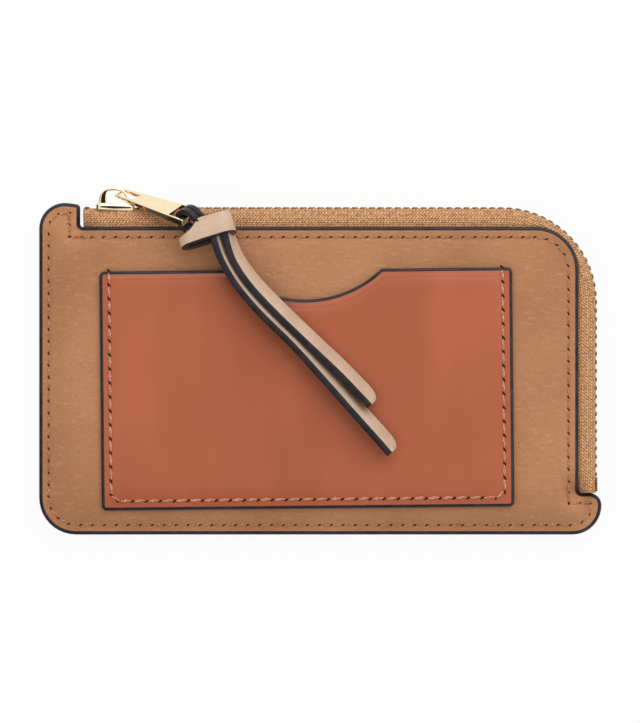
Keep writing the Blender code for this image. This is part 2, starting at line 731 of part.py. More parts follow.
def make_puller():
    """Tapered bar with an eye round the bridge and a slot for the strap."""
    work = bmesh.new()
    bmesh.ops.create_cube(work, size=1.0)
    low = -EYE_BAR / 2
    for vert in work.verts:
        at_end = vert.co.x > 0
        width = PULLER_END_WIDTH if at_end else PULLER_EYE_WIDTH
        thickness = PULLER_END_THICKNESS if at_end else PULLER_EYE_THICKNESS
        x = PULLER_LENGTH if at_end else low
        z = PULLER_UNDERSIDE + (thickness if vert.co.z > 0 else 0.0)
        vert.co = (x, vert.co.y * width, z)
    bmesh.ops.bevel(work, geom=work.edges, offset=PULLER_BEVEL, segments=1, affect="EDGES", profile=0.5)
    body = part("puller", to_mesh("puller", work), "polished_gold")
    frame = puller_frame().to_4x4()
    frame.translation = PULLER_PIVOT
    body.matrix_world = frame
    slot_high = PULLER_LENGTH - END_BAR
    slot_half = STRAP_WIDTH / 2 + STRAP_SLOT_CLEARANCE
    holes = (
        ("puller_eye", EYE_BAR / 2, EYE_BAR / 2 + EYE_LENGTH, EYE_HALF_WIDTH),
        ("puller_slot", slot_high - STRAP_SLOT_LENGTH, slot_high, slot_half),
    )
    for name, near, far, half in holes:
        hole = tool(name, box_mesh(name, (near, -half, -PULLER_END_THICKNESS), (far, half, PULLER_END_THICKNESS)))
        hole.matrix_world = frame
        combine(body, hole, "DIFFERENCE")


def ribbon_mesh(name, points, width_lean):
    """A flat strip along a route: its width stands off the front by a lean."""
    rings = []
    for index, point in enumerate(points):
        before = points[max(index - 1, 0)]
        after = points[min(index + 1, len(points) - 1)]
        along = (after - before).normalized()
        beside = Vector((-along.y, along.x, 0.0)).normalized()
        front = Vector((0.0, 0.0, 1.0))
        across = front * math.cos(width_lean) - beside * math.sin(width_lean)
        face = beside * math.cos(width_lean) + front * math.sin(width_lean)
        ring = []
        for wide, thick in ((-1, -1), (1, -1), (1, 1), (-1, 1)):
            ring.append(point + across * (wide * STRAP_WIDTH / 2) + face * (thick * STRAP_THICKNESS / 2))
        rings.append(ring)
    return loft_mesh(name, rings)


def smooth_route(points, steps=3):
    """Points on a smooth curve through a route."""
    route = []
    last = len(points) - 1
    for index in range(last):
        before = points[max(index - 1, 0)]
        start = points[index]
        end = points[index + 1]
        after = points[min(index + 2, last)]
        for step in range(steps):
            share = step / steps
            bend_in = (end - before) / 2
            bend_out = (after - start) / 2
            square = share * share
            cube = square * share
            route.append(
                start * (2 * cube - 3 * square + 1)
                + bend_in * (cube - 2 * square + share)
                + end * (3 * square - 2 * cube)
                + bend_out * (cube - square)
            )
    route.append(points[last])
    return route


def make_strap():
    """Leather strip hitched round the puller's end bar: the turns on the bar, the knot and two tails."""
    frame = puller_frame()
    pivot = PULLER_PIVOT + frame @ Vector((STRAP_PIVOT_ALONG, 0.0, STRAP_PIVOT_ABOVE))
    turn = frame.to_4x4() @ Matrix.Rotation(math.pi / 2, 4, "X")
    work = bmesh.new()
    bmesh.ops.create_cone(
        work,
        cap_ends=True,
        segments=24,
        radius1=STRAP_OUTER_RADIUS,
        radius2=STRAP_OUTER_RADIUS,
        depth=STRAP_WIDTH,
        matrix=turn,
    )
    body = part("pull_strap", to_mesh("pull_strap", work), "strap_leather", pivot)

    half_depth = KNOT_DEPTH / 2
    knot_outline = rounded_outline((
        (-KNOT_HALF_LENGTH, -half_depth, half_depth * 0.9),
        (KNOT_HALF_LENGTH, -half_depth, half_depth * 0.9),
        (KNOT_HALF_LENGTH, half_depth, half_depth * 0.9),
        (-KNOT_HALF_LENGTH, half_depth, half_depth * 0.9),
    ))
    knot = tool("strap_knot", upright_mesh("strap_knot", knot_outline, -STRAP_WIDTH / 2, STRAP_WIDTH / 2))
    knot.matrix_world = Matrix.Translation(pivot + KNOT_OFFSET) @ Matrix.Rotation(KNOT_TURN, 4, "Z")
    combine(body, knot, "UNION")

    standing = STRAP_WIDTH / 2 * math.cos(STRAP_LEAN) + STRAP_THICKNESS / 2 * math.sin(STRAP_LEAN)
    resting = POCKET_MOST + STRAP_LIFT + standing
    leaving = pivot.z + KNOT_OFFSET.z
    for name, route in (("strap_upper_tail", UPPER_TAIL), ("strap_lower_tail", LOWER_TAIL)):
        points = []
        for index, (x, y) in enumerate(route):
            share = ease(index / 3)
            height = leaving + (resting - leaving) * share
            points.append(Vector((pivot.x + x * MM, pivot.y + y * MM, height)))
        combine(body, tool(name, ribbon_mesh(name, smooth_route(points), STRAP_LEAN)), "UNION")

    bore = bmesh.new()
    bmesh.ops.create_cone(
        bore,
        cap_ends=True,
        segments=20,
        radius1=STRAP_INNER_RADIUS,
        radius2=STRAP_INNER_RADIUS,
        depth=STRAP_WIDTH * 3,
        matrix=Matrix.Translation(pivot) @ turn,
    )
    combine(body, tool("strap_bore", to_mesh("strap_bore", bore)), "DIFFERENCE")


make_panels()
make_tape("front_tape", 1)
make_tape("back_tape", -1)
make_teeth("front_teeth", 1)
make_teeth("back_teeth", -1)
make_stops()
make_slider()
make_puller()
make_strap()
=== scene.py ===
"""Looks of a zippered coin and card pouch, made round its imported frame.

+X runs to the right along the front, +Y up towards the zip and +Z out of the front.
Every piece is made in metres, where the frame has the node that it stands for.
"""

import json
import math

import bmesh
import bpy
from mathutils import Matrix, Vector
from mathutils.geometry import delaunay_2d_cdt
from mathutils.kdtree import KDTree


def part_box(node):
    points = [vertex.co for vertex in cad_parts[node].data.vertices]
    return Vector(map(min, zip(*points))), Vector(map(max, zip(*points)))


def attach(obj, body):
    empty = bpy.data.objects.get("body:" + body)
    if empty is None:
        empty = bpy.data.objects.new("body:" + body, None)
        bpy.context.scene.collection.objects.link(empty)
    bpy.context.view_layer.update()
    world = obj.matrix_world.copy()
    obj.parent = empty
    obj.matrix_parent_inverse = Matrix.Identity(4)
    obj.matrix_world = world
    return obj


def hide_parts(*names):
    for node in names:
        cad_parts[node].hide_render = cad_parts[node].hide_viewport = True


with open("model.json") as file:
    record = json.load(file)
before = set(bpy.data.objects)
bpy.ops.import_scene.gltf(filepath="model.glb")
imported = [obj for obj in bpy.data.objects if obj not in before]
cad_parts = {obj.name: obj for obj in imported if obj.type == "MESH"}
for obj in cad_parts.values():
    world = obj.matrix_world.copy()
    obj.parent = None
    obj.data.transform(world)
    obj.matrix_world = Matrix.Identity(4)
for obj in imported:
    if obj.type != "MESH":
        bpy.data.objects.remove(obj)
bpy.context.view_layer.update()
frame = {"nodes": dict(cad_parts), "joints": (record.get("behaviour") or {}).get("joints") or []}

MM = 0.001

# Outline of both panels
POUCH_HEIGHT = 80.0 * MM
BOTTOM_LEFT_RADIUS = 8.9 * MM
TAB_RADIUS = 7.0 * MM
TAB_TOP_RADIUS = 2.9 * MM
TAB_HEIGHT = 10.0 * MM
EAR_WIDTH = 9.8 * MM
EAR_RADIUS = 6.2 * MM
EAR_SLOPE_DROP = 0.8 * MM
EAR_CROWN = 0.6 * MM
SMALL_RADIUS = 0.9 * MM
ZIP_EDGE_BELOW_EAR = 6.2 * MM
ZIP_EDGE_INSIDE_TAB = 5.6 * MM
PANEL_CORNER_RADIUS = 10.3 * MM

# Rise of the front from its sewn edges
EDGE_RISE = 13.0 * MM
FLAP_RISE = 6.0 * MM
FLAP_FLAT = 4.0 * MM

# Leather edges: how far they are rounded over, and how far the paint laps on to the face
EDGE_ROUND = 0.5 * MM
EDGE_STEPS = 5
PANEL_PAINT = 0.85 * MM
POCKET_PAINT = 0.75 * MM

# Meshes of the sheets
SHEET_SPACING = 1.5 * MM
OUTLINE_SPACING = 1.4 * MM
LEAST_SQUARENESS = 0.5
SAME_POINT = 1e-7

# Card pocket
POCKET_WIDTH = 98.8 * MM
POCKET_HEIGHT = 57.3 * MM
POCKET_FROM_LEFT = 14.9 * MM
POCKET_FROM_BOTTOM = 6.3 * MM
POCKET_TURN = math.radians(0.58)
POCKET_RADIUS = 1.2 * MM
POCKET_CORNER_STEPS = 6
POCKET_THICKNESS = 1.0 * MM
CARD_ROOM = 0.8 * MM
CARD_RAMP = 8.0 * MM
NOTCH_HALF_WIDTH = 18.1 * MM
NOTCH_DEPTH = 7.2 * MM
NOTCH_STEPS = 36
CREASE_INSET = 1.7 * MM
CREASE_DEPTH = 0.3 * MM

# Seams
PANEL_SEAM_INSET = 2.45 * MM
PANEL_PITCH = 2.86 * MM
PANEL_THREAD = 0.25 * MM
POCKET_SEAM_INSET = 2.35 * MM
POCKET_PITCH = 3.36 * MM
POCKET_THREAD = 0.33 * MM
PITCH_TRIM = 0.9999
GROOVE_DEPTH = 0.16 * MM
GROOVE_WIDTH = 0.7 * MM
GROOVE_CLEARING = 1.6 * GROOVE_WIDTH
GROOVE_FREE_POINTS = 3
SEAM_CORNER = 0.01 * MM
SEAM_STEPS = 8
SHARP_TURN = math.radians(20.0)

# One stitch, as shares of its pitch or of the thread's radius, and the dark mark of painted shade at its
# needle hole
STITCH_HALF = 0.46
STITCH_SLANT = 0.05
STITCH_DIP = -1.3
STITCH_CROWN = 2.6
PLY_RADIUS = 0.62
PLY_SHIFT = 0.5
PLY_TWIST = 2.2 * math.pi
HOLE_SHADE_TURN = 0.65
HOLE_SHADE_SHAPE = (2.4, 1.0, 0.4)

# Zip
LAYER_GAP = 0.3 * MM
LINING_THICKNESS = 0.4 * MM
CHAIN_ABOVE_PANEL = 4.1 * MM
CHAIN_OUTSIDE_PANEL = 3.8 * MM
CHAIN_CORNER_RADIUS = 22.0 * MM
HALVINGS = 30
TAPE_THICKNESS = 0.5 * MM
TAPE_SEAM = 6.0 * MM
TAPE_BULGE = 0.3 * MM
TAPE_END_DROP = 0.85 * MM
TAPE_END_RISE = 2.3 * MM
TAPE_TUCK = 0.6 * MM
TAPE_TO_TAB = 0.05 * MM
TAPE_TO_EAR = 0.35 * MM
TAPE_FACE_STEPS = 8
TAPE_RIM = ((0.45, 2.0), (0.2, 1.8), (0.0, 1.55), (-0.12, 1.25), (-0.15, 0.95))
TAPE_STEP = 1.0 * MM
TOOTH_PITCH = 2.05 * MM
TOOTH_SIZE = Vector((1.1, 1.4, 2.3)) * MM
TOOTH_RISE = 0.6 * MM
TEETH_START = -49.9 * MM
TEETH_END_GAP = 4.5 * MM

# Metal solids from the frame
SLIDER_ROUND = 0.15 * MM
METAL_ROUND = 0.12 * MM
ROUND_STEPS = 3
ROUND_FROM = math.radians(32.0)
FLAT_WITHIN = math.radians(1.0)
SHARP_FROM = math.radians(50.0)
WELD = 0.001 * MM
CUT_WITHIN = 0.0001 * MM

# Arch on the slider
ARCH_FRAME_HEIGHT = 4.0 * MM
ARCH_HEIGHT = 3.6 * MM
ARCH_HALF_LENGTH = 3.6 * MM
ARCH_BACK = 0.5 * MM
ARCH_THICKNESS = 0.6 * MM
ARCH_LEG = 1.4 * MM
ARCH_WIDTH = 1.2 * MM
ARCH_SQUARENESS = 2.6
ARCH_CUT = 0.05 * MM
ARCH_FOOT = 0.2 * MM
ARCH_STEPS = 28
ARCH_CORNER = 0.2
ARCH_CORNER_STEPS = 3

# Linings and the wall of glued layers
LINING_MARGIN = 0.3 * MM
LINING_FROM_TAPE = 1.8 * MM
LINING_RADIUS = 5.0 * MM
WALL_INSET = 0.15 * MM
WALL_THICKNESS = 0.9 * MM

# Strap
STRAP_WIDTH = 5.6 * MM
STRAP_THICKNESS = 1.85 * MM
STRAP_LIFT = 0.25 * MM
STRAP_ROUND = 0.4 * MM
STRAP_ROUND_STEPS = 4
STRAP_PAINT = 0.3 * MM

# Turns of the strap on the puller's end bar
BAR_SIZES = (1.3 * MM, 1.9 * MM)
BAR_CLEARANCE = 0.7 * MM
TURN_STEPS = 40
TURN_SHARE = 0.28
TURN_OPENING = math.radians(62.0)
TURN_TUCK = 1.5 * MM
TURN_GAP = 0.25 * MM
RING_SHIFT = Vector((0.3, -0.45, 0.0)) * MM
RING_SHARE = 0.67

# Band round the turns, and the strand inside it
KNOT_HALF_LENGTH = 6.9 * MM
KNOT_DEPTH = 6.4 * MM
KNOT_ROUND = 0.9
KNOT_ROUND_STEPS = 8
KNOT_OFFSET = Vector((4.2, -3.1, 0.75)) * MM
KNOT_TURN = math.radians(17.0)
KNOT_TILT = math.radians(-15.0)
KNOT_TAPER = 0.57
KNOT_TAPER_FROM = -1.0 * MM
KNOT_TAPER_LENGTH = 5.0 * MM
KNOT_STRAND = ((-0.2, -4.3), (3.2, -3.3))

# Tails, as millimetres from the puller's end bar
UPPER_TAIL = (
    (9.2, -2.8), (9.9, -5.6), (11.8, -10.3), (15.8, -15.9),
    (22.1, -22.5), (29.4, -29.5), (36.8, -36.5), (41.9, -41.8),
)
LOWER_TAIL = (
    (6.6, -2.8), (7.3, -5.6), (9.2, -10.3), (12.9, -16.2), (18.4, -22.5),
    (25.8, -29.8), (32.8, -37.5), (40.0, -45.6), (46.8, -53.2),
)
ROUTE_STEPS = 10
KNOT_LEAN = math.radians(12.0)
TAIL_LEAN = math.radians(30.0)
LEAN_SHARE = 0.6
TAIL_RISE_POINTS = 2
TIP_ROUND = 3.4 * MM
TIP_STEPS = 6

# Camera: millimetres a pixel at the front's height, and the point in the picture's middle
PHOTO_HEIGHT = 723
PHOTO_SCALE = 0.24 * MM
PHOTO_CENTRE = Vector((-0.07, 1.56)) * MM
CAMERA_LENS = 400.0
SENSOR = 36.0

# Studio: lamps as (name, place, size, watts), and what mirrors show on the dark side
LAMPS = (
    ("softbox", (0.3, 0.6, 0.8), 1.0, 6.6),
    ("fill", (-0.5, -0.2, 0.8), 0.9, 1.8),
)
WHITE = (1.0, 1.0, 1.0, 1.0)
PAPER_TONE = (0.85, 0.85, 0.85, 1.0)
FLOOR_HALF = 3.0
FLOOR_DROP = 0.4 * MM
FLOOR_GLOW = 0.93
ROOM_LIGHT = 0.5
DARK_SIDE = (-0.8, -0.6, 0.0)
DARK_FLOOR = (0.05, 0.1)
DARK_ROOM = (0.25, 0.5)
DARK_ABOVE = (0.86, 0.97)
DARK_TONE = (0.02, 0.018, 0.016, 1.0)

# Usual reach of a noise, and the shine of all finishes
NOISE_REACH = (0.3, 0.7)
SPECULAR = 0.25

# Places read from the frame
PANEL_LOW_CORNER, PANEL_HIGH_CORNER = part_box("front_panel")
BACK_LOW_CORNER, BACK_HIGH_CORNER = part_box("back_panel")
POCKET_HIGH_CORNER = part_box("front_pocket")[1]
LEFT = PANEL_LOW_CORNER.x
RIGHT = PANEL_HIGH_CORNER.x
BOTTOM = PANEL_LOW_CORNER.y
TOP = BOTTOM + POUCH_HEIGHT
EAR_WALL = LEFT + EAR_WIDTH
PANEL_TOP = TOP - ZIP_EDGE_BELOW_EAR
PANEL_RIGHT = RIGHT - ZIP_EDGE_INSIDE_TAB
TAB_TOP = BOTTOM + TAB_HEIGHT
PANEL_THICKNESS = BACK_HIGH_CORNER.z
SEWN_LOW = PANEL_LOW_CORNER.z
OPEN_LOW = PANEL_HIGH_CORNER.z - PANEL_THICKNESS
CHAIN_Y = PANEL_TOP + CHAIN_ABOVE_PANEL
CHAIN_X = PANEL_RIGHT + CHAIN_OUTSIDE_PANEL
CHAIN_Z = (PANEL_THICKNESS + OPEN_LOW) / 2
ZIP_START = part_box("front_tape")[0].x - TAPE_TO_EAR
ZIP_END = TAB_TOP + TAPE_TO_TAB
TOP_RUN = CHAIN_X - CHAIN_CORNER_RADIUS - ZIP_START
CORNER_RUN = CHAIN_CORNER_RADIUS * math.pi / 2
ZIP_LENGTH = TOP_RUN + CORNER_RUN + (CHAIN_Y - CHAIN_CORNER_RADIUS - ZIP_END)
SEAM_RISE = OPEN_LOW - LAYER_GAP - TAPE_THICKNESS / 2 - CHAIN_Z
FRONT = Vector((0.0, 0.0, 1.0))

# Panel's corners as (x, y, radius), and places on the pocket
PANEL_CORNERS = (
    (LEFT, BOTTOM, BOTTOM_LEFT_RADIUS),
    (RIGHT, BOTTOM, TAB_RADIUS),
    (RIGHT, TAB_TOP, TAB_TOP_RADIUS),
    (PANEL_RIGHT, TAB_TOP, SMALL_RADIUS),
    (PANEL_RIGHT, PANEL_TOP, PANEL_CORNER_RADIUS),
    (EAR_WALL, PANEL_TOP, SMALL_RADIUS),
    (EAR_WALL, TOP - EAR_SLOPE_DROP, SMALL_RADIUS),
    (LEFT, TOP + EAR_CROWN, EAR_RADIUS),
)
POCKET_MIDDLE = Vector((
    LEFT + POCKET_FROM_LEFT + POCKET_WIDTH / 2,
    BOTTOM + POCKET_FROM_BOTTOM + POCKET_HEIGHT / 2,
))
POCKET_ACROSS = Vector((math.cos(POCKET_TURN), math.sin(POCKET_TURN)))
POCKET_UP = Vector((-POCKET_ACROSS.y, POCKET_ACROSS.x))
POCKET_TOP = POCKET_HEIGHT / 2
POCKET_SEAM_SIDE = POCKET_WIDTH / 2 - POCKET_SEAM_INSET
NOTCH_RADIUS = (NOTCH_HALF_WIDTH ** 2 + NOTCH_DEPTH ** 2) / (2 * NOTCH_DEPTH)
NOTCH_MIDDLE = POCKET_TOP - NOTCH_DEPTH + NOTCH_RADIUS


class Nodes:
    """A node tree being built: each node is made with its settings and what feeds its sockets."""

    def __init__(self, tree):
        self.tree = tree

    def add(self, kind, sockets=None, **settings):
        made = self.tree.nodes.new(kind)
        for name, value in settings.items():
            setattr(made, name, value)
        self.feed(made, sockets or {})
        return made

    def feed(self, node, sockets):
        """Set sockets to plain values, to other sockets or to the first output of other nodes."""
        for name, value in sockets.items():
            if isinstance(value, bpy.types.Node):
                value = value.outputs[0]
            if isinstance(value, bpy.types.NodeSocket):
                self.tree.links.new(value, node.inputs[name])
            else:
                node.inputs[name].default_value = value

    def reckon(self, operation, first, second=0.0):
        return self.add("ShaderNodeMath", {0: first, 1: second}, operation=operation)

    def times(self, first, second):
        return self.reckon("MULTIPLY", first, second)

    def plus(self, first, second):
        return self.reckon("ADD", first, second)

    def larger(self, first, second):
        return self.reckon("MAXIMUM", first, second)

    def vector(self, operation, first, second):
        return self.add("ShaderNodeVectorMath", {0: first, 1: second}, operation=operation)

    def point(self, x, y, z):
        return self.add("ShaderNodeCombineXYZ", {0: x, 1: y, 2: z})

    def blend(self, share, first, second):
        return self.add("ShaderNodeMix", {0: share, 6: first, 7: second}, data_type="RGBA").outputs[2]

    def spread(self, value, low, high, to_low=0.0, to_high=1.0):
        sockets = {"Value": value, "From Min": low, "From Max": high, "To Min": to_low, "To Max": to_high}
        return self.add("ShaderNodeMapRange", sockets)

    def noise(self, place, scale, detail=2.0):
        return self.add("ShaderNodeTexNoise", {"Vector": place, "Scale": scale, "Detail": detail})

    def vary(self, noise, low, high):
        """A value that follows a noise from low to high."""
        return self.spread(noise, *NOISE_REACH, low, high)

    def tones(self, noise, dark, light, reach=NOISE_REACH):
        """A colour that follows a noise from dark to light."""
        return self.blend(self.spread(noise, *reach), dark, light)

    def bump(self, height, strength, depth):
        return self.add("ShaderNodeBump", {"Height": height, "Strength": strength, "Distance": depth})


def colour(red, green, blue):
    """A screen colour, 0 to 255, as the linear colour that shaders use."""
    linear = []
    for value in (red, green, blue):
        share = value / 255
        linear.append(share / 12.92 if share <= 0.04045 else ((share + 0.055) / 1.055) ** 2.4)
    return (*linear, 1.0)


def start_finish(name, roughness, metallic=0.0):
    """A new material: its nodes, its shader, and the place on the object that patterns follow."""
    made = bpy.data.materials.new(name)
    made.use_nodes = True
    nodes = Nodes(made.node_tree)
    shader = made.node_tree.nodes["Principled BSDF"]
    nodes.feed(shader, {"Roughness": roughness, "Metallic": metallic, "Specular IOR Level": SPECULAR})
    place = nodes.add("ShaderNodeTexCoord").outputs["Object"]
    return made, nodes, shader, place


def grained_leather():
    """Soft tan leather with a fine pebbled grain and short pale strokes that run across the piece."""
    made, nodes, shader, place = start_finish("grained_leather", 0.5)
    uneven = nodes.noise(place, 900.0)
    warp = nodes.add("ShaderNodeVectorMath", {0: uneven, "Scale": 0.5 * MM}, operation="SCALE")
    shifted = nodes.vector("ADD", place, warp)
    cells = nodes.add("ShaderNodeTexVoronoi", {"Vector": shifted, "Scale": 1700.0}, feature="SMOOTH_F1")
    drawn = nodes.vector("MULTIPLY", place, (1.0, 3.2, 1.0))
    strokes = nodes.spread(nodes.noise(drawn, 420.0, 3.0), 0.54, 0.72)
    fine = nodes.noise(place, 2600.0, 3.0)
    pebble = nodes.spread(cells, 0.15, 0.75, 1.0, 0.0)
    tan = nodes.tones(nodes.noise(place, 45.0, 3.0), colour(174, 117, 78), colour(189, 133, 92))
    grained = nodes.blend(nodes.spread(pebble, 0.0, 0.55, 0.2, 0.0), tan, colour(138, 86, 54))
    height = nodes.plus(pebble, nodes.plus(strokes, nodes.times(fine, 0.5)))
    nodes.feed(shader, {
        "Base Color": nodes.blend(nodes.times(strokes, 0.3), grained, colour(214, 160, 118)),
        "Roughness": nodes.vary(fine, 0.44, 0.62),
        "Normal": nodes.bump(height, 0.4, 0.12 * MM),
    })
    return made


def smooth_leather_painted_sheen(name, dark, light):
    """Smooth reddish leather with a low sheen and fine pores; its broad clouds of tone, drawn out up the
    piece, are partly the leather's uneven tone and partly painted streaks of sheen.
    """
    made, nodes, shader, place = start_finish(name, 0.36)
    # Stretched up the piece, this noise paints lighter vertical streaks of sheen into the colour.
    sheen_streak_place = nodes.add("ShaderNodeMapping", {"Vector": place, "Scale": (1.0, 0.35, 1.0)})
    pores = nodes.noise(place, 3200.0)
    nodes.feed(shader, {
        "Base Color": nodes.tones(nodes.noise(sheen_streak_place, 60.0), dark, light),
        "Roughness": nodes.vary(pores, 0.33, 0.42),
        "Normal": nodes.bump(pores, 0.12, 0.05 * MM),
    })
    return made


def strap_leather():
    """Natural beige leather with a fine fibrous face."""
    made, nodes, shader, place = start_finish("strap_leather", 0.5)
    fibre = nodes.noise(place, 1500.0, 4.0)
    beige = nodes.tones(nodes.noise(place, 140.0), colour(205, 173, 148), colour(219, 190, 166))
    worn = nodes.blend(nodes.spread(fibre, 0.35, 0.6, 0.16, 0.0), beige, colour(170, 132, 104))
    nodes.feed(shader, {"Base Color": worn, "Normal": nodes.bump(fibre, 0.15, 0.06 * MM)})
    return made


def edge_paint():
    """Dark paint on the cut leather edges, a little uneven."""
    made, nodes, shader, place = start_finish("edge_paint", 0.34)
    uneven = nodes.noise(place, 420.0, 3.0)
    nodes.feed(shader, {
        "Base Color": nodes.tones(uneven, colour(36, 32, 37), colour(56, 50, 56)),
        "Roughness": nodes.vary(uneven, 0.28, 0.42),
        "Normal": nodes.bump(uneven, 0.2, 0.08 * MM),
    })
    return made


def thread(name, light, dark):
    """Waxed sewing thread, a little uneven in tone."""
    made, nodes, shader, place = start_finish(name, 0.55)
    fibre = nodes.noise(place, 2200.0)
    tone = nodes.tones(fibre, dark, light, (0.35, 0.65))
    nodes.feed(shader, {"Base Color": tone, "Normal": nodes.bump(fibre, 0.3, 0.05 * MM)})
    return made


def needle_hole_shade():
    """Painted shade: the dark inside of a needle hole, as a flat dark mark on the leather."""
    made, nodes, shader, place = start_finish("needle_hole_shade", 0.9)
    shade = nodes.noise(place, 900.0)
    nodes.feed(shader, {"Base Color": nodes.blend(shade, colour(44, 22, 14), colour(70, 38, 24))})
    return made


def woven(name, grain, row, dark, light):
    """Woven cloth on the piece's own UV map: rows of slanted grains, each leaning against the next row; the
    colour follows the grains' height, painted shade in the gaps and painted highlight on the tops.
    """
    made, nodes, shader, place = start_finish(name, 0.7)
    across = nodes.add("ShaderNodeSeparateXYZ", {0: nodes.add("ShaderNodeUVMap")}).outputs
    rows = nodes.reckon("DIVIDE", across["Y"], row)
    within = nodes.reckon("FRACT", rows)
    odd = nodes.reckon("MODULO", nodes.reckon("FLOOR", rows), 2.0)
    lean = nodes.reckon("SUBTRACT", nodes.times(odd, 2.0), 1.0)
    along = nodes.plus(nodes.reckon("DIVIDE", across["X"], grain), nodes.times(odd, 0.5))
    slanted = nodes.plus(along, nodes.times(lean, nodes.times(within, 0.6)))
    length = nodes.reckon("ABSOLUTE", nodes.reckon("SINE", nodes.times(slanted, math.pi)))
    width = nodes.reckon("SINE", nodes.times(within, math.pi))
    height = nodes.times(nodes.reckon("POWER", length, 0.8), nodes.reckon("POWER", width, 0.35))
    uneven = nodes.vary(nodes.noise(place, 1300.0, 3.0), 0.55, 1.5)
    nodes.feed(shader, {
        # Dark in the low gaps and light on the grains' tops: painted shade and painted highlight.
        "Base Color": nodes.blend(nodes.times(height, uneven), dark, light),
        "Normal": nodes.bump(height, 0.9, 0.2 * MM),
        "Sheen Weight": 0.15,
    })
    return made


def polished_metal(name, tone, roughness, wear):
    """Plated metal with faint polishing marks."""
    made, nodes, shader, place = start_finish(name, roughness, 1.0)
    marks = nodes.noise(place, 800.0, 4.0)
    worn = nodes.spread(marks, 0.35, 0.65, 0.0, wear)
    nodes.feed(shader, {
        "Base Color": nodes.blend(worn, tone, colour(120, 84, 44)),
        "Roughness": nodes.vary(marks, roughness * 0.8, roughness * 1.3),
    })
    return made


GRAINED = grained_leather()
# The pocket's leather carries painted streaks of sheen in its colour.
POCKET_SKIN = smooth_leather_painted_sheen("pocket_leather", colour(170, 90, 58), colour(186, 101, 67))
# The rim between the pocket's mouth and its crease is lighter: a painted highlight.
POCKET_RIM_HIGHLIGHT = smooth_leather_painted_sheen("pocket_rim_highlight", colour(182, 104, 78), colour(196, 116, 88))
STRAP_SKIN = strap_leather()
PAINT = edge_paint()
PANEL_THREAD_FINISH = thread("panel_thread", colour(214, 158, 116), colour(160, 104, 68))
POCKET_THREAD_FINISH = thread("pocket_thread", colour(236, 176, 146), colour(196, 122, 92))
HOLE_SHADE = needle_hole_shade()
# The dark and light tones of the tape and the lining are the painted shade and highlight of their weave.
TAPE_CLOTH = woven("tape_twill", 0.78 * MM, 0.5 * MM, colour(122, 62, 26), colour(255, 196, 140))
LINING_CLOTH = woven("lining_weave", 0.6 * MM, 0.4 * MM, colour(96, 66, 44), colour(150, 110, 78))
GOLD = polished_metal("pale_gold", colour(255, 234, 196), 0.06, 0.06)
TOOTH_METAL = polished_metal("tooth_metal", colour(122, 86, 48), 0.36, 0.5)


def link(name, data):
    """A new object in the scene."""
    made = bpy.data.objects.new(name, data)
    bpy.context.scene.collection.objects.link(made)
    return made


def new_piece(name, mesh, finishes, smooth=True):
    """An object in the scene for a finished mesh."""
    for finish in finishes:
        mesh.materials.append(finish)
    if smooth:
        mesh.shade_smooth()
    return link(name, mesh)


def to_mesh(name, work):
    """Write a working mesh out with its faces outward."""
    bmesh.ops.recalc_face_normals(work, faces=work.faces)
    mesh = bpy.data.meshes.new(name)
    work.to_mesh(mesh)
    work.free()
    return mesh


def settle(piece, body, slot, *nodes):
    """Hand a finished piece to the body that carries it, in the place of the named nodes."""
    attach(piece, body)
    if nodes:
        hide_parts(*nodes)


def plain_mesh(piece):
    """Turn what a piece's modifiers make into its own plain mesh."""
    graph = bpy.context.evaluated_depsgraph_get()
    mesh = bpy.data.meshes.new_from_object(piece.evaluated_get(graph), depsgraph=graph)
    name = piece.name
    bpy.data.objects.remove(piece)
    return link(name, mesh)


def with_neighbours(points):
    """Each point of a closed line, between the one before it and the one after it."""
    return zip(points[-1:] + points[:-1], points, points[1:] + points[:1])


def rounded_outline(corners, steps=10):
    """Points of a closed outline whose corners (x, y, radius) are rounded by arcs."""
    points = []
    for last, (x, y, radius), following in with_neighbours(corners):
        corner = Vector((x, y))
        before = Vector(last[:2]) - corner
        after = Vector(following[:2]) - corner
        half_angle = before.angle(after) / 2
        inward = (before.normalized() + after.normalized()).normalized()
        centre = corner + inward * (radius / math.sin(half_angle))
        reach = radius / math.tan(half_angle)
        start = corner + before.normalized() * reach - centre
        end = corner + after.normalized() * reach - centre
        for step in range(steps + 1):
            points.append(centre + start.slerp(end, step / steps) * radius)
    return points


def rounded_box(half_width, half_height, radius, steps):
    """Points of a rounded rectangle round the origin."""
    corners = (
        (-half_width, -half_height, radius),
        (half_width, -half_height, radius),
        (half_width, half_height, radius),
        (-half_width, half_height, radius),
    )
    return rounded_outline(corners, steps)


def subdivided(points, spacing, closed=True):
    """The same outline with more points on its long straight sides."""
    fine = []
    ends = points[1:] + points[:1] if closed else points[1:]
    for start, end in zip(points, ends):
        count = max(1, round((end - start).length / spacing))
        fine += [start.lerp(end, index / count) for index in range(count)]
    if not closed:
        fine.append(points[-1])
    return fine


def inward_at(before, point, after):
    """At a point of an anticlockwise outline: the way inward, its squareness, and if the corner is hollow."""
    start = (point - before).normalized()
    end = (after - point).normalized()
    inward = Vector((-start.y - end.y, start.x + end.x)).normalized()
    return inward, inward.dot(Vector((-end.y, end.x))), start.cross(end) < 0


def inset_points(points, distance):
    """Move a closed outline, which runs anticlockwise, inward by a distance."""
    moved = []
    for before, point, after in with_neighbours(points):
        inward, square, _ = inward_at(before, point, after)
        moved.append(point + inward * (distance / max(square, LEAST_SQUARENESS)))
    return moved


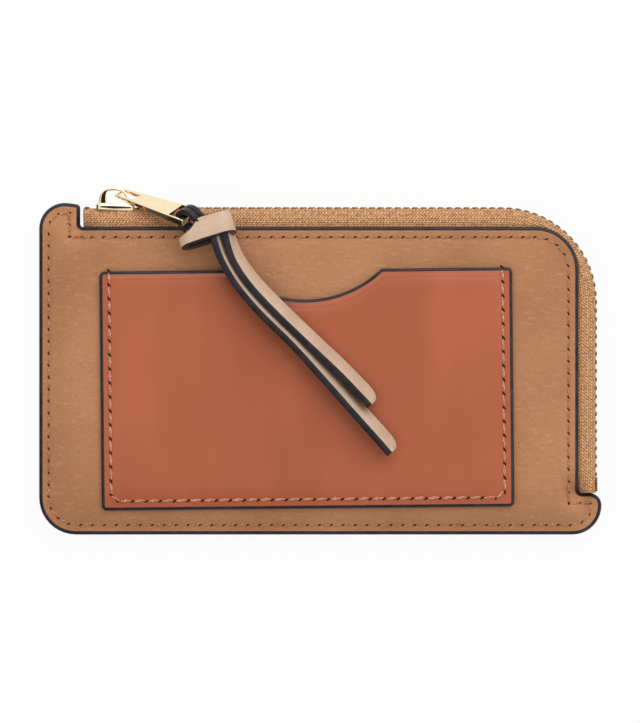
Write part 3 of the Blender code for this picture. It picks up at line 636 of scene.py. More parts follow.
def inset_corners(corners, distance, sharp):
    """Corners of an outline moved inward: hollow ones become sharp, others keep what radius is left."""
    moved = []
    for before, (x, y, radius), after in with_neighbours(corners):
        corner = Vector((x, y))
        inward, square, hollow = inward_at(Vector(before[:2]), corner, Vector(after[:2]))
        spot = corner + inward * (distance / square)
        moved.append((spot.x, spot.y, sharp if hollow else max(radius - distance, sharp)))
    return moved


def beside(points, distance):
    """An open line of points moved sideways."""
    moved = []
    for index, point in enumerate(points):
        before = points[max(index - 1, 0)]
        after = points[min(index + 1, len(points) - 1)]
        along = (after - before).normalized()
        moved.append(point + Vector((-along.y, along.x)) * distance)
    return moved


def skin(work, loops, closed=False):
    """Faces between rings of points, each with the two places in the ring that it spans."""
    made = []
    count = len(loops[0])
    following = loops[1:] + loops[:1] if closed else loops[1:]
    for first, second in zip(loops, following):
        for index in range(count):
            after = (index + 1) % count
            face = work.faces.new((first[index], first[after], second[after], second[index]))
            made.append((face, index, after))
    return made


def loft(name, rings):
    """A skin through rings of points, with its ends filled."""
    work = bmesh.new()
    loops = [[work.verts.new(point) for point in ring] for ring in rings]
    skin(work, loops)
    work.faces.new(loops[0])
    work.faces.new(loops[-1])
    return to_mesh(name, work)


def ease(value):
    """Rise smoothly from 0 at 0 to 1 at 1, and stay within both."""
    return math.sin(min(max(value, 0.0), 1.0) * math.pi / 2)


def flap_ease(along, across):
    """Share of the lift left near the ear or the tab, sewn flat where along > 0 and across < 0."""
    past = along if across < 0 else min(along, 0.0)
    distance = math.hypot(min(past, 0.0), across)
    return ease(distance / FLAP_RISE) * (1.0 - ease(past / FLAP_FLAT))


def front_low(x, y):
    """Height of the front panel's underside: low at the sewn edges, high along the zip."""
    sewn = ease((x - LEFT) / EDGE_RISE) * ease((y - BOTTOM) / EDGE_RISE)
    share = sewn * flap_ease(y - PANEL_TOP, x - EAR_WALL) * flap_ease(x - PANEL_RIGHT, y - TAB_TOP)
    return SEWN_LOW + (OPEN_LOW - SEWN_LOW) * share


def on_pocket(along, up):
    """A point given along the pocket's width and height, from its middle."""
    return POCKET_MIDDLE + POCKET_ACROSS * along + POCKET_UP * up


def pocket_low(x, y):
    """Height of the pocket's underside: close to the panel at its seams, with room for a card inside."""
    offset = Vector((x, y)) - POCKET_MIDDLE
    side = POCKET_WIDTH / 2 - abs(offset.dot(POCKET_ACROSS))
    above = POCKET_HEIGHT / 2 + offset.dot(POCKET_UP)
    room = CARD_ROOM * ease(side / CARD_RAMP) * ease(above / CARD_RAMP)
    return front_low(x, y) + PANEL_THICKNESS + LAYER_GAP + room


def pocket_mouth():
    """Points of the notch for the thumb, an arc from right to left."""
    reach = math.asin(NOTCH_HALF_WIDTH / NOTCH_RADIUS)
    mouth = []
    for step in range(NOTCH_STEPS + 1):
        angle = reach * (1 - 2 * step / NOTCH_STEPS)
        mouth.append(Vector((NOTCH_RADIUS * math.sin(angle), NOTCH_MIDDLE - NOTCH_RADIUS * math.cos(angle))))
    return mouth


def pocket_outline():
    """Outline of the card pocket."""
    plain = rounded_box(POCKET_WIDTH / 2, POCKET_HEIGHT / 2, POCKET_RADIUS, POCKET_CORNER_STEPS)
    last_corner = POCKET_CORNER_STEPS + 1
    flat = plain[:-last_corner] + pocket_mouth() + plain[-last_corner:]
    return [on_pocket(*point) for point in flat]


def pocket_seam():
    """The line of stitches down one side of the pocket, along its bottom and up the other side."""
    side = POCKET_SEAM_SIDE
    low = -POCKET_HEIGHT / 2 + POCKET_SEAM_INSET
    return [on_pocket(*spot) for spot in ((-side, POCKET_TOP), (-side, low), (side, low), (side, POCKET_TOP))]


def pocket_crease():
    """The line creased inside the pocket's mouth, on both sides of the notch and round it."""
    start = Vector((POCKET_SEAM_SIDE, POCKET_TOP))
    end = Vector((-POCKET_SEAM_SIDE, POCKET_TOP))
    return [on_pocket(*point) for point in beside([start] + pocket_mouth() + [end], CREASE_INSET)]


def pocket_rim_highlight(point):
    """Whether a point lies between the pocket's mouth and the crease inside it, the band that takes a painted
    highlight.
    """
    offset = point.xy - POCKET_MIDDLE
    along = offset.dot(POCKET_ACROSS)
    up = offset.dot(POCKET_UP)
    from_notch = math.hypot(along, up - NOTCH_MIDDLE) - NOTCH_RADIUS
    beside_notch = abs(along) > NOTCH_HALF_WIDTH and POCKET_TOP - up < CREASE_INSET
    return abs(along) < POCKET_SEAM_SIDE and (beside_notch or 0.0 < from_notch < CREASE_INSET)


def distance_to(points):
    """A function that gives the distance of a place from a line of points."""
    tree = KDTree(len(points))
    for index, point in enumerate(points):
        tree.insert((*point, 0.0), index)
    tree.balance()
    return lambda x, y: tree.find((x, y, 0.0))[2]


def groove_under(seams):
    """A function that gives how deep a face is pressed in beside lines of (points, depth)."""
    lines = [(distance_to(points), depth) for points, depth in seams]

    def pressed(x, y):
        depths = [depth * math.exp(-((away(x, y) / GROOVE_WIDTH) ** 2)) for away, depth in lines]
        return max(depths, default=0.0)

    return pressed


def points_inside(ring, spacing):
    """Rows of points inside a ring."""
    low = min(point.y for point in ring)
    high = max(point.y for point in ring)
    rows = int((high - low) / spacing)
    found = []
    for row in range(rows):
        y = low + (row + 0.5) * (high - low) / rows
        crossings = []
        for start, end in zip(ring, ring[1:] + ring[:1]):
            if (start.y > y) != (end.y > y):
                crossings.append(start.x + (end.x - start.x) * (y - start.y) / (end.y - start.y))
        crossings.sort()
        for left, right in zip(crossings[::2], crossings[1::2]):
            count = max(1, int((right - left) / spacing) - 1)
            step = (right - left) / (count + 1)
            found += [Vector((left + step * (index + 1), y)) for index in range(count)]
    return found


def sheet_points(ring, seams):
    """Points inside a sheet's painted rim: in rows, and in lines along its seams."""
    inside = points_inside(ring, SHEET_SPACING)
    for points, _ in seams:
        away = distance_to(points)
        inside = [point for point in inside if away(*point) > GROOVE_CLEARING]
        inside += points + beside(points, -GROOVE_WIDTH) + beside(points, GROOVE_WIDTH)
    return inside


def edge_profile(thickness, paint_width):
    """A sheet's rounded edge from its face to its underside, as (inset, depth)."""
    over = [(paint_width, 0.0)]
    for step in range(EDGE_STEPS + 1):
        angle = math.pi / 2 * (1 - step / EDGE_STEPS)
        over.append((EDGE_ROUND * (1 - math.cos(angle)), thickness / 2 * (1 - math.sin(angle))))
    return over + [(inset, thickness - depth) for inset, depth in reversed(over[:-1])]


def leather_sheet(name, outline, low, thickness, paint_width, seams, finishes, rim_highlight_at=None):
    """A sheet with rounded, painted edges, its face pressed in along its seams.

    The second finish is the paint's, and a third, lighter, is a painted highlight on the places where the
    last argument is true.
    """
    border = subdivided(outline, OUTLINE_SPACING)
    pressed = groove_under(seams)
    work = bmesh.new()
    loops = []
    for inset, depth in edge_profile(thickness, paint_width):
        ring = inset_points(border, inset)
        loops.append([work.verts.new((*point, low(*point) + thickness - depth)) for point in ring])
    for face, _, _ in skin(work, loops):
        face.material_index = 1

    ring = inset_points(border, paint_width)
    known = ring + sheet_points(ring, seams)
    bounds = [list(range(len(ring)))]
    spots, _, faces, sources, _, _ = delaunay_2d_cdt(known, [], bounds, 1, SAME_POINT)
    for rim, is_top in ((loops[0], True), (loops[-1], False)):
        verts = []
        for spot, source in zip(spots, sources):
            on_rim = [index for index in source if index < len(ring)]
            if on_rim:
                verts.append(rim[on_rim[0]])
                continue
            height = low(*spot) + (thickness - pressed(*spot) if is_top else 0.0)
            verts.append(work.verts.new((*spot, height)))
        for places in faces:
            corners = [verts[index] for index in places]
            if len(set(corners)) == 3:
                face = work.faces.new(corners if is_top else corners[::-1])
                face.material_index = 2 if is_top and rim_highlight_at and rim_highlight_at(face.calc_center_median()) else 0
    loose = [vert for vert in work.verts if not vert.link_faces]
    bmesh.ops.delete(work, geom=loose, context="VERTS")
    return new_piece(name, to_mesh(name, work), finishes)


def start_tree(name, inputs):
    """A tree that grows something at each pitch of a path: its nodes, its inputs and the evened path."""
    tree = bpy.data.node_groups.new(name, "GeometryNodeTree")
    for socket, kind in (("Path", "Geometry"), ("Pitch", "Float"), *inputs):
        tree.interface.new_socket(socket, in_out="INPUT", socket_type="NodeSocket" + kind)
    tree.interface.new_socket("Grown", in_out="OUTPUT", socket_type="NodeSocketGeometry")
    nodes = Nodes(tree)
    given = nodes.add("NodeGroupInput").outputs
    sockets = {"Curve": given["Path"], "Length": given["Pitch"]}
    return nodes, given, nodes.add("GeometryNodeResampleCurve", sockets, mode="LENGTH")


def finish_tree(nodes, *parts):
    """Join what a tree has grown, and make its copies real."""
    joined = nodes.add("GeometryNodeJoinGeometry")
    for part in parts:
        nodes.feed(joined, {0: part})
    nodes.add("NodeGroupOutput", {0: nodes.add("GeometryNodeRealizeInstances", {"Geometry": joined})})
    return nodes.tree


def keep_way(nodes, domain, geometry, way):
    """Geometry that carries a direction with it, and that direction."""
    kept = nodes.add("GeometryNodeCaptureAttribute", {"Geometry": geometry}, domain=domain)
    kept.capture_items.new("VECTOR", "way")
    nodes.feed(kept, {"way": way})
    return kept.outputs[0], kept.outputs["way"]


def points_along(nodes, path):
    """Points of a path, and the way that it runs at each."""
    kept, way = keep_way(nodes, "POINT", path, nodes.add("GeometryNodeInputTangent"))
    return nodes.add("GeometryNodeCurveToPoints", {"Curve": kept}, mode="EVALUATED"), way


def copies(nodes, points, way, shape, finish, scale=(1.0, 1.0, 1.0)):
    """A copy of a shape on each point, turned along its way."""
    facing = nodes.add("FunctionNodeAlignRotationToVector", {"Vector": way}, axis="X", pivot_axis="Z")
    coated = nodes.add("GeometryNodeSetMaterial", {"Geometry": shape, "Material": finish})
    sockets = {"Points": points, "Instance": coated, "Rotation": facing, "Scale": scale}
    return nodes.add("GeometryNodeInstanceOnPoints", sockets)


def stitch_rope(nodes, pitch, radius, slant):
    """One stitch: two plies twisted along a bow that dips into the leather at both ends."""
    half = nodes.times(pitch, STITCH_HALF)
    shift = nodes.times(pitch, slant)
    dip = nodes.times(radius, STITCH_DIP)
    bow = nodes.add("GeometryNodeCurveQuadraticBezier", {
        "Resolution": 8,
        "Start": nodes.point(nodes.times(half, -1.0), nodes.times(shift, -1.0), dip),
        "Middle": nodes.point(0.0, 0.0, nodes.times(radius, STITCH_CROWN)),
        "End": nodes.point(half, shift, dip),
    })
    turns = nodes.times(nodes.add("GeometryNodeSplineParameter").outputs["Factor"], PLY_TWIST)
    twisted = nodes.add("GeometryNodeSetCurveTilt", {"Curve": bow, "Tilt": turns})
    plies = nodes.add("GeometryNodeJoinGeometry")
    for side in (-PLY_SHIFT, PLY_SHIFT):
        size = nodes.times(radius, PLY_RADIUS)
        ply = nodes.add("GeometryNodeCurvePrimitiveCircle", {"Resolution": 6, "Radius": size})
        apart = nodes.point(nodes.times(radius, side), 0.0, 0.0)
        nodes.feed(plies, {0: nodes.add("GeometryNodeSetPosition", {"Geometry": ply, "Offset": apart})})
    sockets = {"Curve": twisted, "Profile Curve": plies, "Fill Caps": True}
    return nodes.add("GeometryNodeCurveToMesh", sockets)


def stitch_tree():
    """Two-ply stitches bowed over the leather between needle holes, along a curve, with a flat dark mark of
    painted shade at each hole.
    """
    inputs = (("Thread radius", "Float"), ("Slant", "Float"), ("Thread", "Material"), ("Hole", "Material"))
    nodes, given, even = start_tree("stitch_run", inputs)
    radius = given["Thread radius"]
    ends = nodes.add("GeometryNodeInputMeshEdgeVertices").outputs
    run = nodes.vector("SUBTRACT", ends["Position 2"], ends["Position 1"])
    line, way = keep_way(nodes, "EDGE", nodes.add("GeometryNodeCurveToMesh", {"Curve": even}), run)
    middles = nodes.add("GeometryNodeMeshToPoints", {"Mesh": line}, mode="EDGES")
    rope = stitch_rope(nodes, given["Pitch"], radius, given["Slant"])
    sewn = copies(nodes, middles, way, rope, given["Thread"])

    # A flattened dark ball at each needle hole paints the shade inside it.
    spots, tangent = points_along(nodes, even)
    sockets = {"Vector": tangent, "Angle": HOLE_SHADE_TURN}
    turned = nodes.add("ShaderNodeVectorRotate", sockets, rotation_type="Z_AXIS")
    ball = nodes.add("GeometryNodeMeshUVSphere", {"Segments": 10, "Rings": 6, "Radius": radius})
    hole_shades = copies(nodes, spots, turned, ball, given["Hole"], HOLE_SHADE_SHAPE)
    return finish_tree(nodes, hole_shades, sewn)


def path_curve(name, points):
    """A plain curve through points."""
    curve = bpy.data.curves.new(name, "CURVE")
    curve.dimensions = "3D"
    spline = curve.splines.new("POLY")
    spline.points.add(len(points) - 1)
    for place, point in zip(spline.points, points):
        place.co = (*point, 1.0)
    return link(name, curve)


def grow(path, tree, values):
    """Run a node tree on a path with its inputs set, and keep what it makes as a plain mesh."""
    step = path.modifiers.new(tree.name, "NODES")
    step.node_group = tree
    for socket in tree.interface.items_tree:
        if socket.name in values:
            step[socket.identifier] = values[socket.name]
    path.update_tag()
    return plain_mesh(path)


STITCHES = stitch_tree()


def runs_between_turns(points):
    """Split a closed line of points at its sharp turns."""
    turns = []
    for index, (before, point, after) in enumerate(with_neighbours(points)):
        if (point - before).angle(after - point) > SHARP_TURN:
            turns.append(index)
    ends = turns[1:] + [turns[0] + len(points)]
    return [(points + points)[start:end + 1] for start, end in zip(turns, ends)]


def sew(name, runs, pitch, radius, finish):
    """Stitches along lines on the leather, with whole stitches in each of them."""
    values = {"Thread radius": radius, "Slant": STITCH_SLANT, "Thread": finish, "Hole": HOLE_SHADE}
    joined = bmesh.new()
    for points in runs:
        length = sum((end - start).length for start, end in zip(points, points[1:]))
        values["Pitch"] = length / max(1, round(length / pitch)) * PITCH_TRIM
        run = grow(path_curve(name, points), STITCHES, values)
        joined.from_mesh(run.data)
        finishes = list(run.data.materials)
        bpy.data.objects.remove(run)
    mesh = bpy.data.meshes.new(name)
    joined.to_mesh(mesh)
    joined.free()
    return new_piece(name, mesh, finishes)


def panel_seam():
    """The line of stitches round the panel, and the same line with its sharp corners as single points."""
    corners = inset_corners(PANEL_CORNERS, PANEL_SEAM_INSET, SEAM_CORNER)
    line = rounded_outline(corners, SEAM_STEPS)
    count = SEAM_STEPS + 1
    sharp = []
    for index, (x, y, radius) in enumerate(corners):
        arc = line[index * count:(index + 1) * count]
        sharp += [Vector((x, y))] if radius <= SEAM_CORNER else arc
    return line, sharp


def in_groove(points, low, thickness):
    """Points of a seam on a sheet, at the bottom of its groove."""
    lift = thickness - GROOVE_DEPTH
    return [Vector((x, y, low(x, y) + lift)) for x, y in points]


def make_panels():
    """The grained front and back, and the stitches round the front."""
    outline = rounded_outline(PANEL_CORNERS)
    seam, sharp_seam = panel_seam()
    front_seams = [(subdivided(seam, GROOVE_WIDTH), GROOVE_DEPTH)]
    for name, node, low, seams in (
        ("front_leather", "front_panel", front_low, front_seams),
        ("back_leather", "back_panel", lambda x, y: BACK_LOW_CORNER.z, []),
    ):
        sheet = leather_sheet(name, outline, low, PANEL_THICKNESS, PANEL_PAINT, seams, (GRAINED, PAINT))
        settle(sheet, "pouch", "grained_leather", node)
    runs = []
    for run in runs_between_turns(sharp_seam):
        runs.append(in_groove(subdivided(run, GROOVE_WIDTH, closed=False), front_low, PANEL_THICKNESS))
    stitches = sew("panel_stitches", runs, PANEL_PITCH, PANEL_THREAD, PANEL_THREAD_FINISH)
    settle(stitches, "pouch", "grained_leather")


def make_pocket():
    """The card pocket and its stitches."""
    seam = subdivided(pocket_seam(), GROOVE_WIDTH, closed=False)
    crease = subdivided(pocket_crease(), GROOVE_WIDTH, closed=False)
    grooved = seam[GROOVE_FREE_POINTS:-GROOVE_FREE_POINTS]
    card = leather_sheet(
        "card_pocket",
        pocket_outline(),
        pocket_low,
        POCKET_THICKNESS,
        POCKET_PAINT,
        [(grooved, GROOVE_DEPTH), (crease, CREASE_DEPTH)],
        (POCKET_SKIN, PAINT, POCKET_RIM_HIGHLIGHT),
        pocket_rim_highlight,
    )
    settle(card, "pouch", "pocket_leather", "front_pocket")
    runs = [in_groove(seam, pocket_low, POCKET_THICKNESS)]
    stitches = sew("pocket_stitches", runs, POCKET_PITCH, POCKET_THREAD, POCKET_THREAD_FINISH)
    settle(stitches, "pouch", "pocket_leather")


def lining_outline():
    """Outline of a lining, which stops short of the zip's tapes."""
    low_x = LEFT + LINING_MARGIN
    low_y = BOTTOM + LINING_MARGIN
    high_x = PANEL_RIGHT - TAPE_SEAM - LINING_FROM_TAPE
    high_y = PANEL_TOP - TAPE_SEAM - LINING_FROM_TAPE
    return rounded_outline((
        (low_x, low_y, BOTTOM_LEFT_RADIUS - LINING_MARGIN),
        (high_x, low_y, SMALL_RADIUS),
        (high_x, high_y, LINING_RADIUS),
        (low_x, high_y, SMALL_RADIUS),
    ))


def make_linings():
    """The two cloth linings of the zip compartment, with UV maps in metres, across and up."""
    for name, node, low in (
        ("front_lining_cloth", "front_lining", lambda x, y: front_low(x, y) - LAYER_GAP - LINING_THICKNESS),
        ("back_lining_cloth", "back_lining", lambda x, y: BACK_HIGH_CORNER.z + LAYER_GAP),
    ):
        skins = (LINING_CLOTH, LINING_CLOTH)
        cloth = leather_sheet(name, lining_outline(), low, LINING_THICKNESS, EDGE_ROUND, [], skins)
        layer = cloth.data.uv_layers.new(name="weave")
        for loop in cloth.data.loops:
            layer.data[loop.index].uv = cloth.data.vertices[loop.vertex_index].co.xy
        settle(cloth, "pouch", "lining_cloth", node)


def make_sewn_edge():
    """Painted wall of glued layers round the ear, the left side, the bottom and the tab."""
    outline = subdivided(rounded_outline(PANEL_CORNERS), OUTLINE_SPACING)
    zip_corner = Vector((PANEL_RIGHT, PANEL_TOP))
    start = min(range(len(outline)), key=lambda index: (outline[index] - zip_corner).length)
    sewn = []
    for point in outline[start:] + outline[:start]:
        on_top = point.y > PANEL_TOP - SMALL_RADIUS and point.x > EAR_WALL + SMALL_RADIUS
        on_side = point.x > PANEL_RIGHT - SMALL_RADIUS and point.y > TAB_TOP + SMALL_RADIUS
        near_corner = (point - zip_corner).length < PANEL_CORNER_RADIUS
        if not (on_top or on_side or near_corner):
            sewn.append(point)
    low = PANEL_THICKNESS / 2
    rings = []
    for point, inner in zip(beside(sewn, WALL_INSET), beside(sewn, WALL_INSET + WALL_THICKNESS)):
        high = front_low(*point) + PANEL_THICKNESS / 2
        rings.append([(*point, low), (*point, high), (*inner, high), (*inner, low)])
    wall = new_piece("sewn_edge", loft("sewn_edge", rings), [PAINT], smooth=False)
    settle(wall, "pouch", "grained_leather")


def chain_at(distance):
    """Point on the zip's middle line and its outward direction, by distance from its closed end."""
    centre = Vector((CHAIN_X - CHAIN_CORNER_RADIUS, CHAIN_Y - CHAIN_CORNER_RADIUS))
    if distance <= TOP_RUN:
        return Vector((ZIP_START + distance, CHAIN_Y)), Vector((0.0, 1.0))
    if distance <= TOP_RUN + CORNER_RUN:
        turn = (distance - TOP_RUN) / CHAIN_CORNER_RADIUS
        outward = Vector((math.sin(turn), math.cos(turn)))
        return centre + outward * CHAIN_CORNER_RADIUS, outward
    return Vector((CHAIN_X, centre.y - (distance - TOP_RUN - CORNER_RUN))), Vector((1.0, 0.0))


def off_panel(spot):
    """Whether a place by the zip lies outside the panel."""
    across = spot.x - (PANEL_RIGHT - PANEL_CORNER_RADIUS)
    along = spot.y - (PANEL_TOP - PANEL_CORNER_RADIUS)
    if across > 0 and along > 0:
        return math.hypot(across, along) > PANEL_CORNER_RADIUS
    return max(across, along) > PANEL_CORNER_RADIUS


def panel_gap(point, outward):
    """Distance from the zip's middle line in to the panel's edge."""
    near = 0.0
    far = CHAIN_CORNER_RADIUS
    for _ in range(HALVINGS):
        middle = (near + far) / 2
        if off_panel(point - outward * middle):
            near = middle
        else:
            far = middle
    return far


def tape_face(point, outward, side):
    """Middle of a tape's thickness from its hem to its rim round the bead, as (inward, rise)."""
    gap = panel_gap(point, outward)
    seam_rise = SEAM_RISE
    if side > 0:
        edge = point - outward * gap
        seam_rise = min(SEAM_RISE, front_low(*edge) - LAYER_GAP - TAPE_THICKNESS / 2 - CHAIN_Z)
    face = [Vector((gap + TAPE_SEAM, seam_rise)), Vector((gap + TAPE_TUCK, seam_rise))]
    for step in range(TAPE_FACE_STEPS + 1):
        share = step / TAPE_FACE_STEPS
        inward = gap + (TAPE_END_DROP - gap) * share
        straight = seam_rise + (TAPE_END_RISE - seam_rise) * share
        face.append(Vector((inward, straight + TAPE_BULGE * math.sin(math.pi * share))))
    return face + [Vector(spot) * MM for spot in TAPE_RIM]


def make_tape(name, node, side):
    """A zip tape with its rim rolled over the bead: side is 1 at the front and -1 at the back."""
    steps = round(ZIP_LENGTH / TAPE_STEP)
    rings = []
    widths = []
    for step in range(steps + 1):
        point, outward = chain_at(ZIP_LENGTH * step / steps)
        face = tape_face(point, outward, side)
        over = beside(face, -TAPE_THICKNESS / 2)
        under = beside(face, TAPE_THICKNESS / 2)
        ring = []
        for inward, rise in over + under[::-1]:
            ring.append((*(point - outward * inward), CHAIN_Z + side * rise))
        rings.append(ring)
        across = [0.0]
        for start, end in zip(face, face[1:]):
            across.append(across[-1] + (end - start).length)
        widths.append([value - across[-1] for value in across + across[::-1]])
    mesh = loft(name, rings)
    layer = mesh.uv_layers.new(name="weave")
    for loop in mesh.loops:
        ring, spot = divmod(loop.vertex_index, len(rings[0]))
        layer.data[loop.index].uv = (ZIP_LENGTH * ring / steps, widths[ring][spot])
    tape = new_piece(name, mesh, [TAPE_CLOTH])
    settle(tape, "pouch", "zip_tape", node)


def tooth_tree():
    """A row of rounded teeth, one at each pitch along a curve."""
    nodes, given, even = start_tree("tooth_row", (("Size", "Vector"), ("Metal", "Material")))
    spots, way = points_along(nodes, even)
    cuts = {"Vertices X": 3, "Vertices Y": 3, "Vertices Z": 3}
    block = nodes.add("GeometryNodeMeshCube", {"Size": given["Size"], **cuts})
    soft = nodes.add("GeometryNodeSubdivisionSurface", {"Mesh": block, "Level": 1})
    return finish_tree(nodes, copies(nodes, spots, way, soft, given["Metal"]))


def make_teeth(tree, name, node, side):
    """One row of teeth: the two rows stand half a pitch apart, so that they mesh."""
    start = TEETH_START - ZIP_START + (0.0 if side > 0 else TOOTH_PITCH / 2)
    length = ZIP_LENGTH - start - TEETH_END_GAP
    steps = round(length / TAPE_STEP)
    points = []
    for step in range(steps + 1):
        point, _ = chain_at(start + length * step / steps)
        points.append((*point, CHAIN_Z + side * TOOTH_RISE))
    values = {"Pitch": TOOTH_PITCH, "Size": TOOTH_SIZE, "Metal": TOOTH_METAL}
    teeth = grow(path_curve(name, points), tree, values)
    teeth.data.shade_smooth()
    settle(teeth, "pouch", "zip_metal", node)


def make_zip():
    """Both tapes and both rows of teeth."""
    make_tape("front_zip_tape", "front_tape", 1)
    make_tape("back_zip_tape", "back_tape", -1)
    tree = tooth_tree()
    make_teeth(tree, "front_zip_teeth", "front_teeth", 1)
    make_teeth(tree, "back_zip_teeth", "back_teeth", -1)


def rounded_solid(name, node, width, finish, cut_above=None):
    """A frame solid with its edges rounded over, and what stands above a height in Y taken off."""
    work = bmesh.new()
    work.from_mesh(frame["nodes"][node].data)
    bmesh.ops.remove_doubles(work, verts=work.verts, dist=WELD)
    if cut_above is not None:
        everything = work.verts[:] + work.edges[:] + work.faces[:]
        plane = {"plane_co": (0.0, cut_above, 0.0), "plane_no": (0.0, 1.0, 0.0)}
        cut = bmesh.ops.bisect_plane(work, geom=everything, dist=CUT_WITHIN, clear_outer=True, **plane)
        rim = [item for item in cut["geom_cut"] if isinstance(item, bmesh.types.BMEdge)]
        bmesh.ops.edgeloop_fill(work, edges=rim)
    bmesh.ops.dissolve_limit(work, angle_limit=FLAT_WITHIN, verts=work.verts, edges=work.edges)
    piece = new_piece(name, to_mesh(name, work), [finish])
    edges = piece.modifiers.new("rounded_edges", "BEVEL")
    edges.width = width
    edges.segments = ROUND_STEPS
    edges.limit_method = "ANGLE"
    edges.angle_limit = ROUND_FROM
    edges.harden_normals = True
    return plain_mesh(piece)


def arch_rings(middle, foot):
    """Rings of the slider's arch: thick at its closed end, thin over the puller."""
    section = rounded_box(0.5, 0.5, ARCH_CORNER, ARCH_CORNER_STEPS)
    power = 2.0 / ARCH_SQUARENESS
    rings = []
    for step in range(ARCH_STEPS + 1):
        angle = math.pi * (1.0 - step / ARCH_STEPS)
        along = math.copysign(abs(math.cos(angle)) ** power, math.cos(angle))
        up = max(math.sin(angle), 0.0) ** power
        thick = ARCH_THICKNESS + ARCH_LEG * max(-along, 0.0) ** 2
        ring = []
        for spot in section:
            inset = thick * (0.5 - spot.x)
            height = ARCH_HEIGHT + ARCH_FOOT - min(inset, ARCH_THICKNESS)
            place = (middle + (ARCH_HALF_LENGTH - inset) * along, foot + height * up)
            ring.append((*place, CHAIN_Z + spot.y * ARCH_WIDTH))
        rings.append(ring)
    return rings


def make_slider():
    """The slider's plates and walls, with the arch that the puller hangs on."""
    low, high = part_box("slider")
    plate_top = high.y - ARCH_FRAME_HEIGHT
    slider = rounded_solid("zip_slider", "slider", SLIDER_ROUND, GOLD, plate_top - ARCH_CUT)
    arch = loft("slider_arch", arch_rings((low.x + high.x) / 2 - ARCH_BACK, plate_top - ARCH_FOOT))
    work = bmesh.new()
    work.from_mesh(slider.data)
    work.from_mesh(arch)
    bpy.data.meshes.remove(arch)
    work.to_mesh(slider.data)
    work.free()
    slider.data.shade_smooth()
    slider.data.set_sharp_from_angle(angle=SHARP_FROM)
    settle(slider, "slider", "polished_gold", "slider")


def make_metal():
    """The slider and the puller, polished and pale gold; the stops in the teeth's metal."""
    make_slider()
    puller = rounded_solid("zip_puller", "puller", METAL_ROUND, GOLD)
    settle(puller, "puller", "polished_gold", "puller")
    for stop in ("front_top_stop", "back_top_stop", "bottom_stop"):
        metal = rounded_solid(stop + "_clamp", stop, METAL_ROUND, TOOTH_METAL)
        settle(metal, "pouch", "zip_metal", stop)


def smooth_route(points, steps):
    """Points on a smooth curve through a route."""
    route = []
    last = len(points) - 1
    for index in range(last):
        start = points[index]
        end = points[index + 1]
        bend_in = (end - points[max(index - 1, 0)]) / 2
        bend_out = (points[min(index + 2, last)] - start) / 2
        for step in range(steps):
            share = step / steps
            square = share * share
            cube = square * share
            route.append(
                start * (2 * cube - 3 * square + 1)
                + bend_in * (cube - 2 * square + share)
                + end * (3 * square - 2 * cube)
                + bend_out * (cube - square)
            )
    route.append(points[last])
    return route


def strip(work, stations, closed=False, painted=STRAP_THICKNESS):
    """Sweep the strap's section along (point, across, through, width) stations.

    Its edges take the paint, and so does all of it that lies deeper than the painted depth; on the band that
    dark inner face is painted shade in its hollow.
    """
    half_thickness = STRAP_THICKNESS / 2
    half_width = STRAP_WIDTH / 2
    section = rounded_box(half_width, half_thickness, STRAP_ROUND, STRAP_ROUND_STEPS)
    loops = []
    for point, across, through, width in stations:
        ring = [point + across * (spot.x * width) + through * spot.y for spot in section]
        loops.append([work.verts.new(place) for place in ring])
    for face, index, after in skin(work, loops, closed):
        side = min(abs(section[index].x), abs(section[after].x))
        depth = half_thickness - (section[index].y + section[after].y) / 2
        face.material_index = 1 if depth > painted or side > half_width - STRAP_PAINT else 0
    if not closed:
        for end in (loops[0], loops[-1]):
            work.faces.new(end).material_index = 1


def loop_stations(middle, ways, outline, share=1.0, closed=True):
    """Stations round an outline in the first two of three ways, at a share of the strap's thickness."""
    first, second, across = ways
    stations = []
    count = len(outline)
    for index, spot in enumerate(outline):
        before = outline[index - 1] if closed or index > 0 else spot
        after = outline[(index + 1) % count] if closed or index + 1 < count else spot
        along = (after - before).normalized()
        through = (first * along.y - second * along.x) * share
        stations.append((middle + first * spot.x + second * spot.y, across, through, 1.0))
    return stations


def add_turns(work, pivot, axis):
    """Two open bends round the puller's end bar, their ends tucked into the band."""
    first = (KNOT_OFFSET - axis * KNOT_OFFSET.dot(axis)).normalized()
    mid_radius = math.hypot(*BAR_SIZES) / 2 + BAR_CLEARANCE + STRAP_THICKNESS * RING_SHARE / 2
    bend = []
    for step in range(TURN_STEPS + 1):
        angle = TURN_OPENING + 2 * (math.pi - TURN_OPENING) * step / TURN_STEPS
        bend.append(Vector((math.cos(angle), math.sin(angle))) * mid_radius)
    tuck = Vector((TURN_TUCK, 0.0))
    bend = [bend[0] + tuck] + bend + [bend[-1] + tuck]
    ways = (first, axis.cross(first), axis * TURN_SHARE)
    for side in (-1, 1):
        middle = pivot + RING_SHIFT + axis * (side * (STRAP_WIDTH * TURN_SHARE + TURN_GAP) / 2)
        stations = loop_stations(middle, ways, bend, RING_SHARE, closed=False)
        strip(work, stations, painted=-STRAP_THICKNESS)


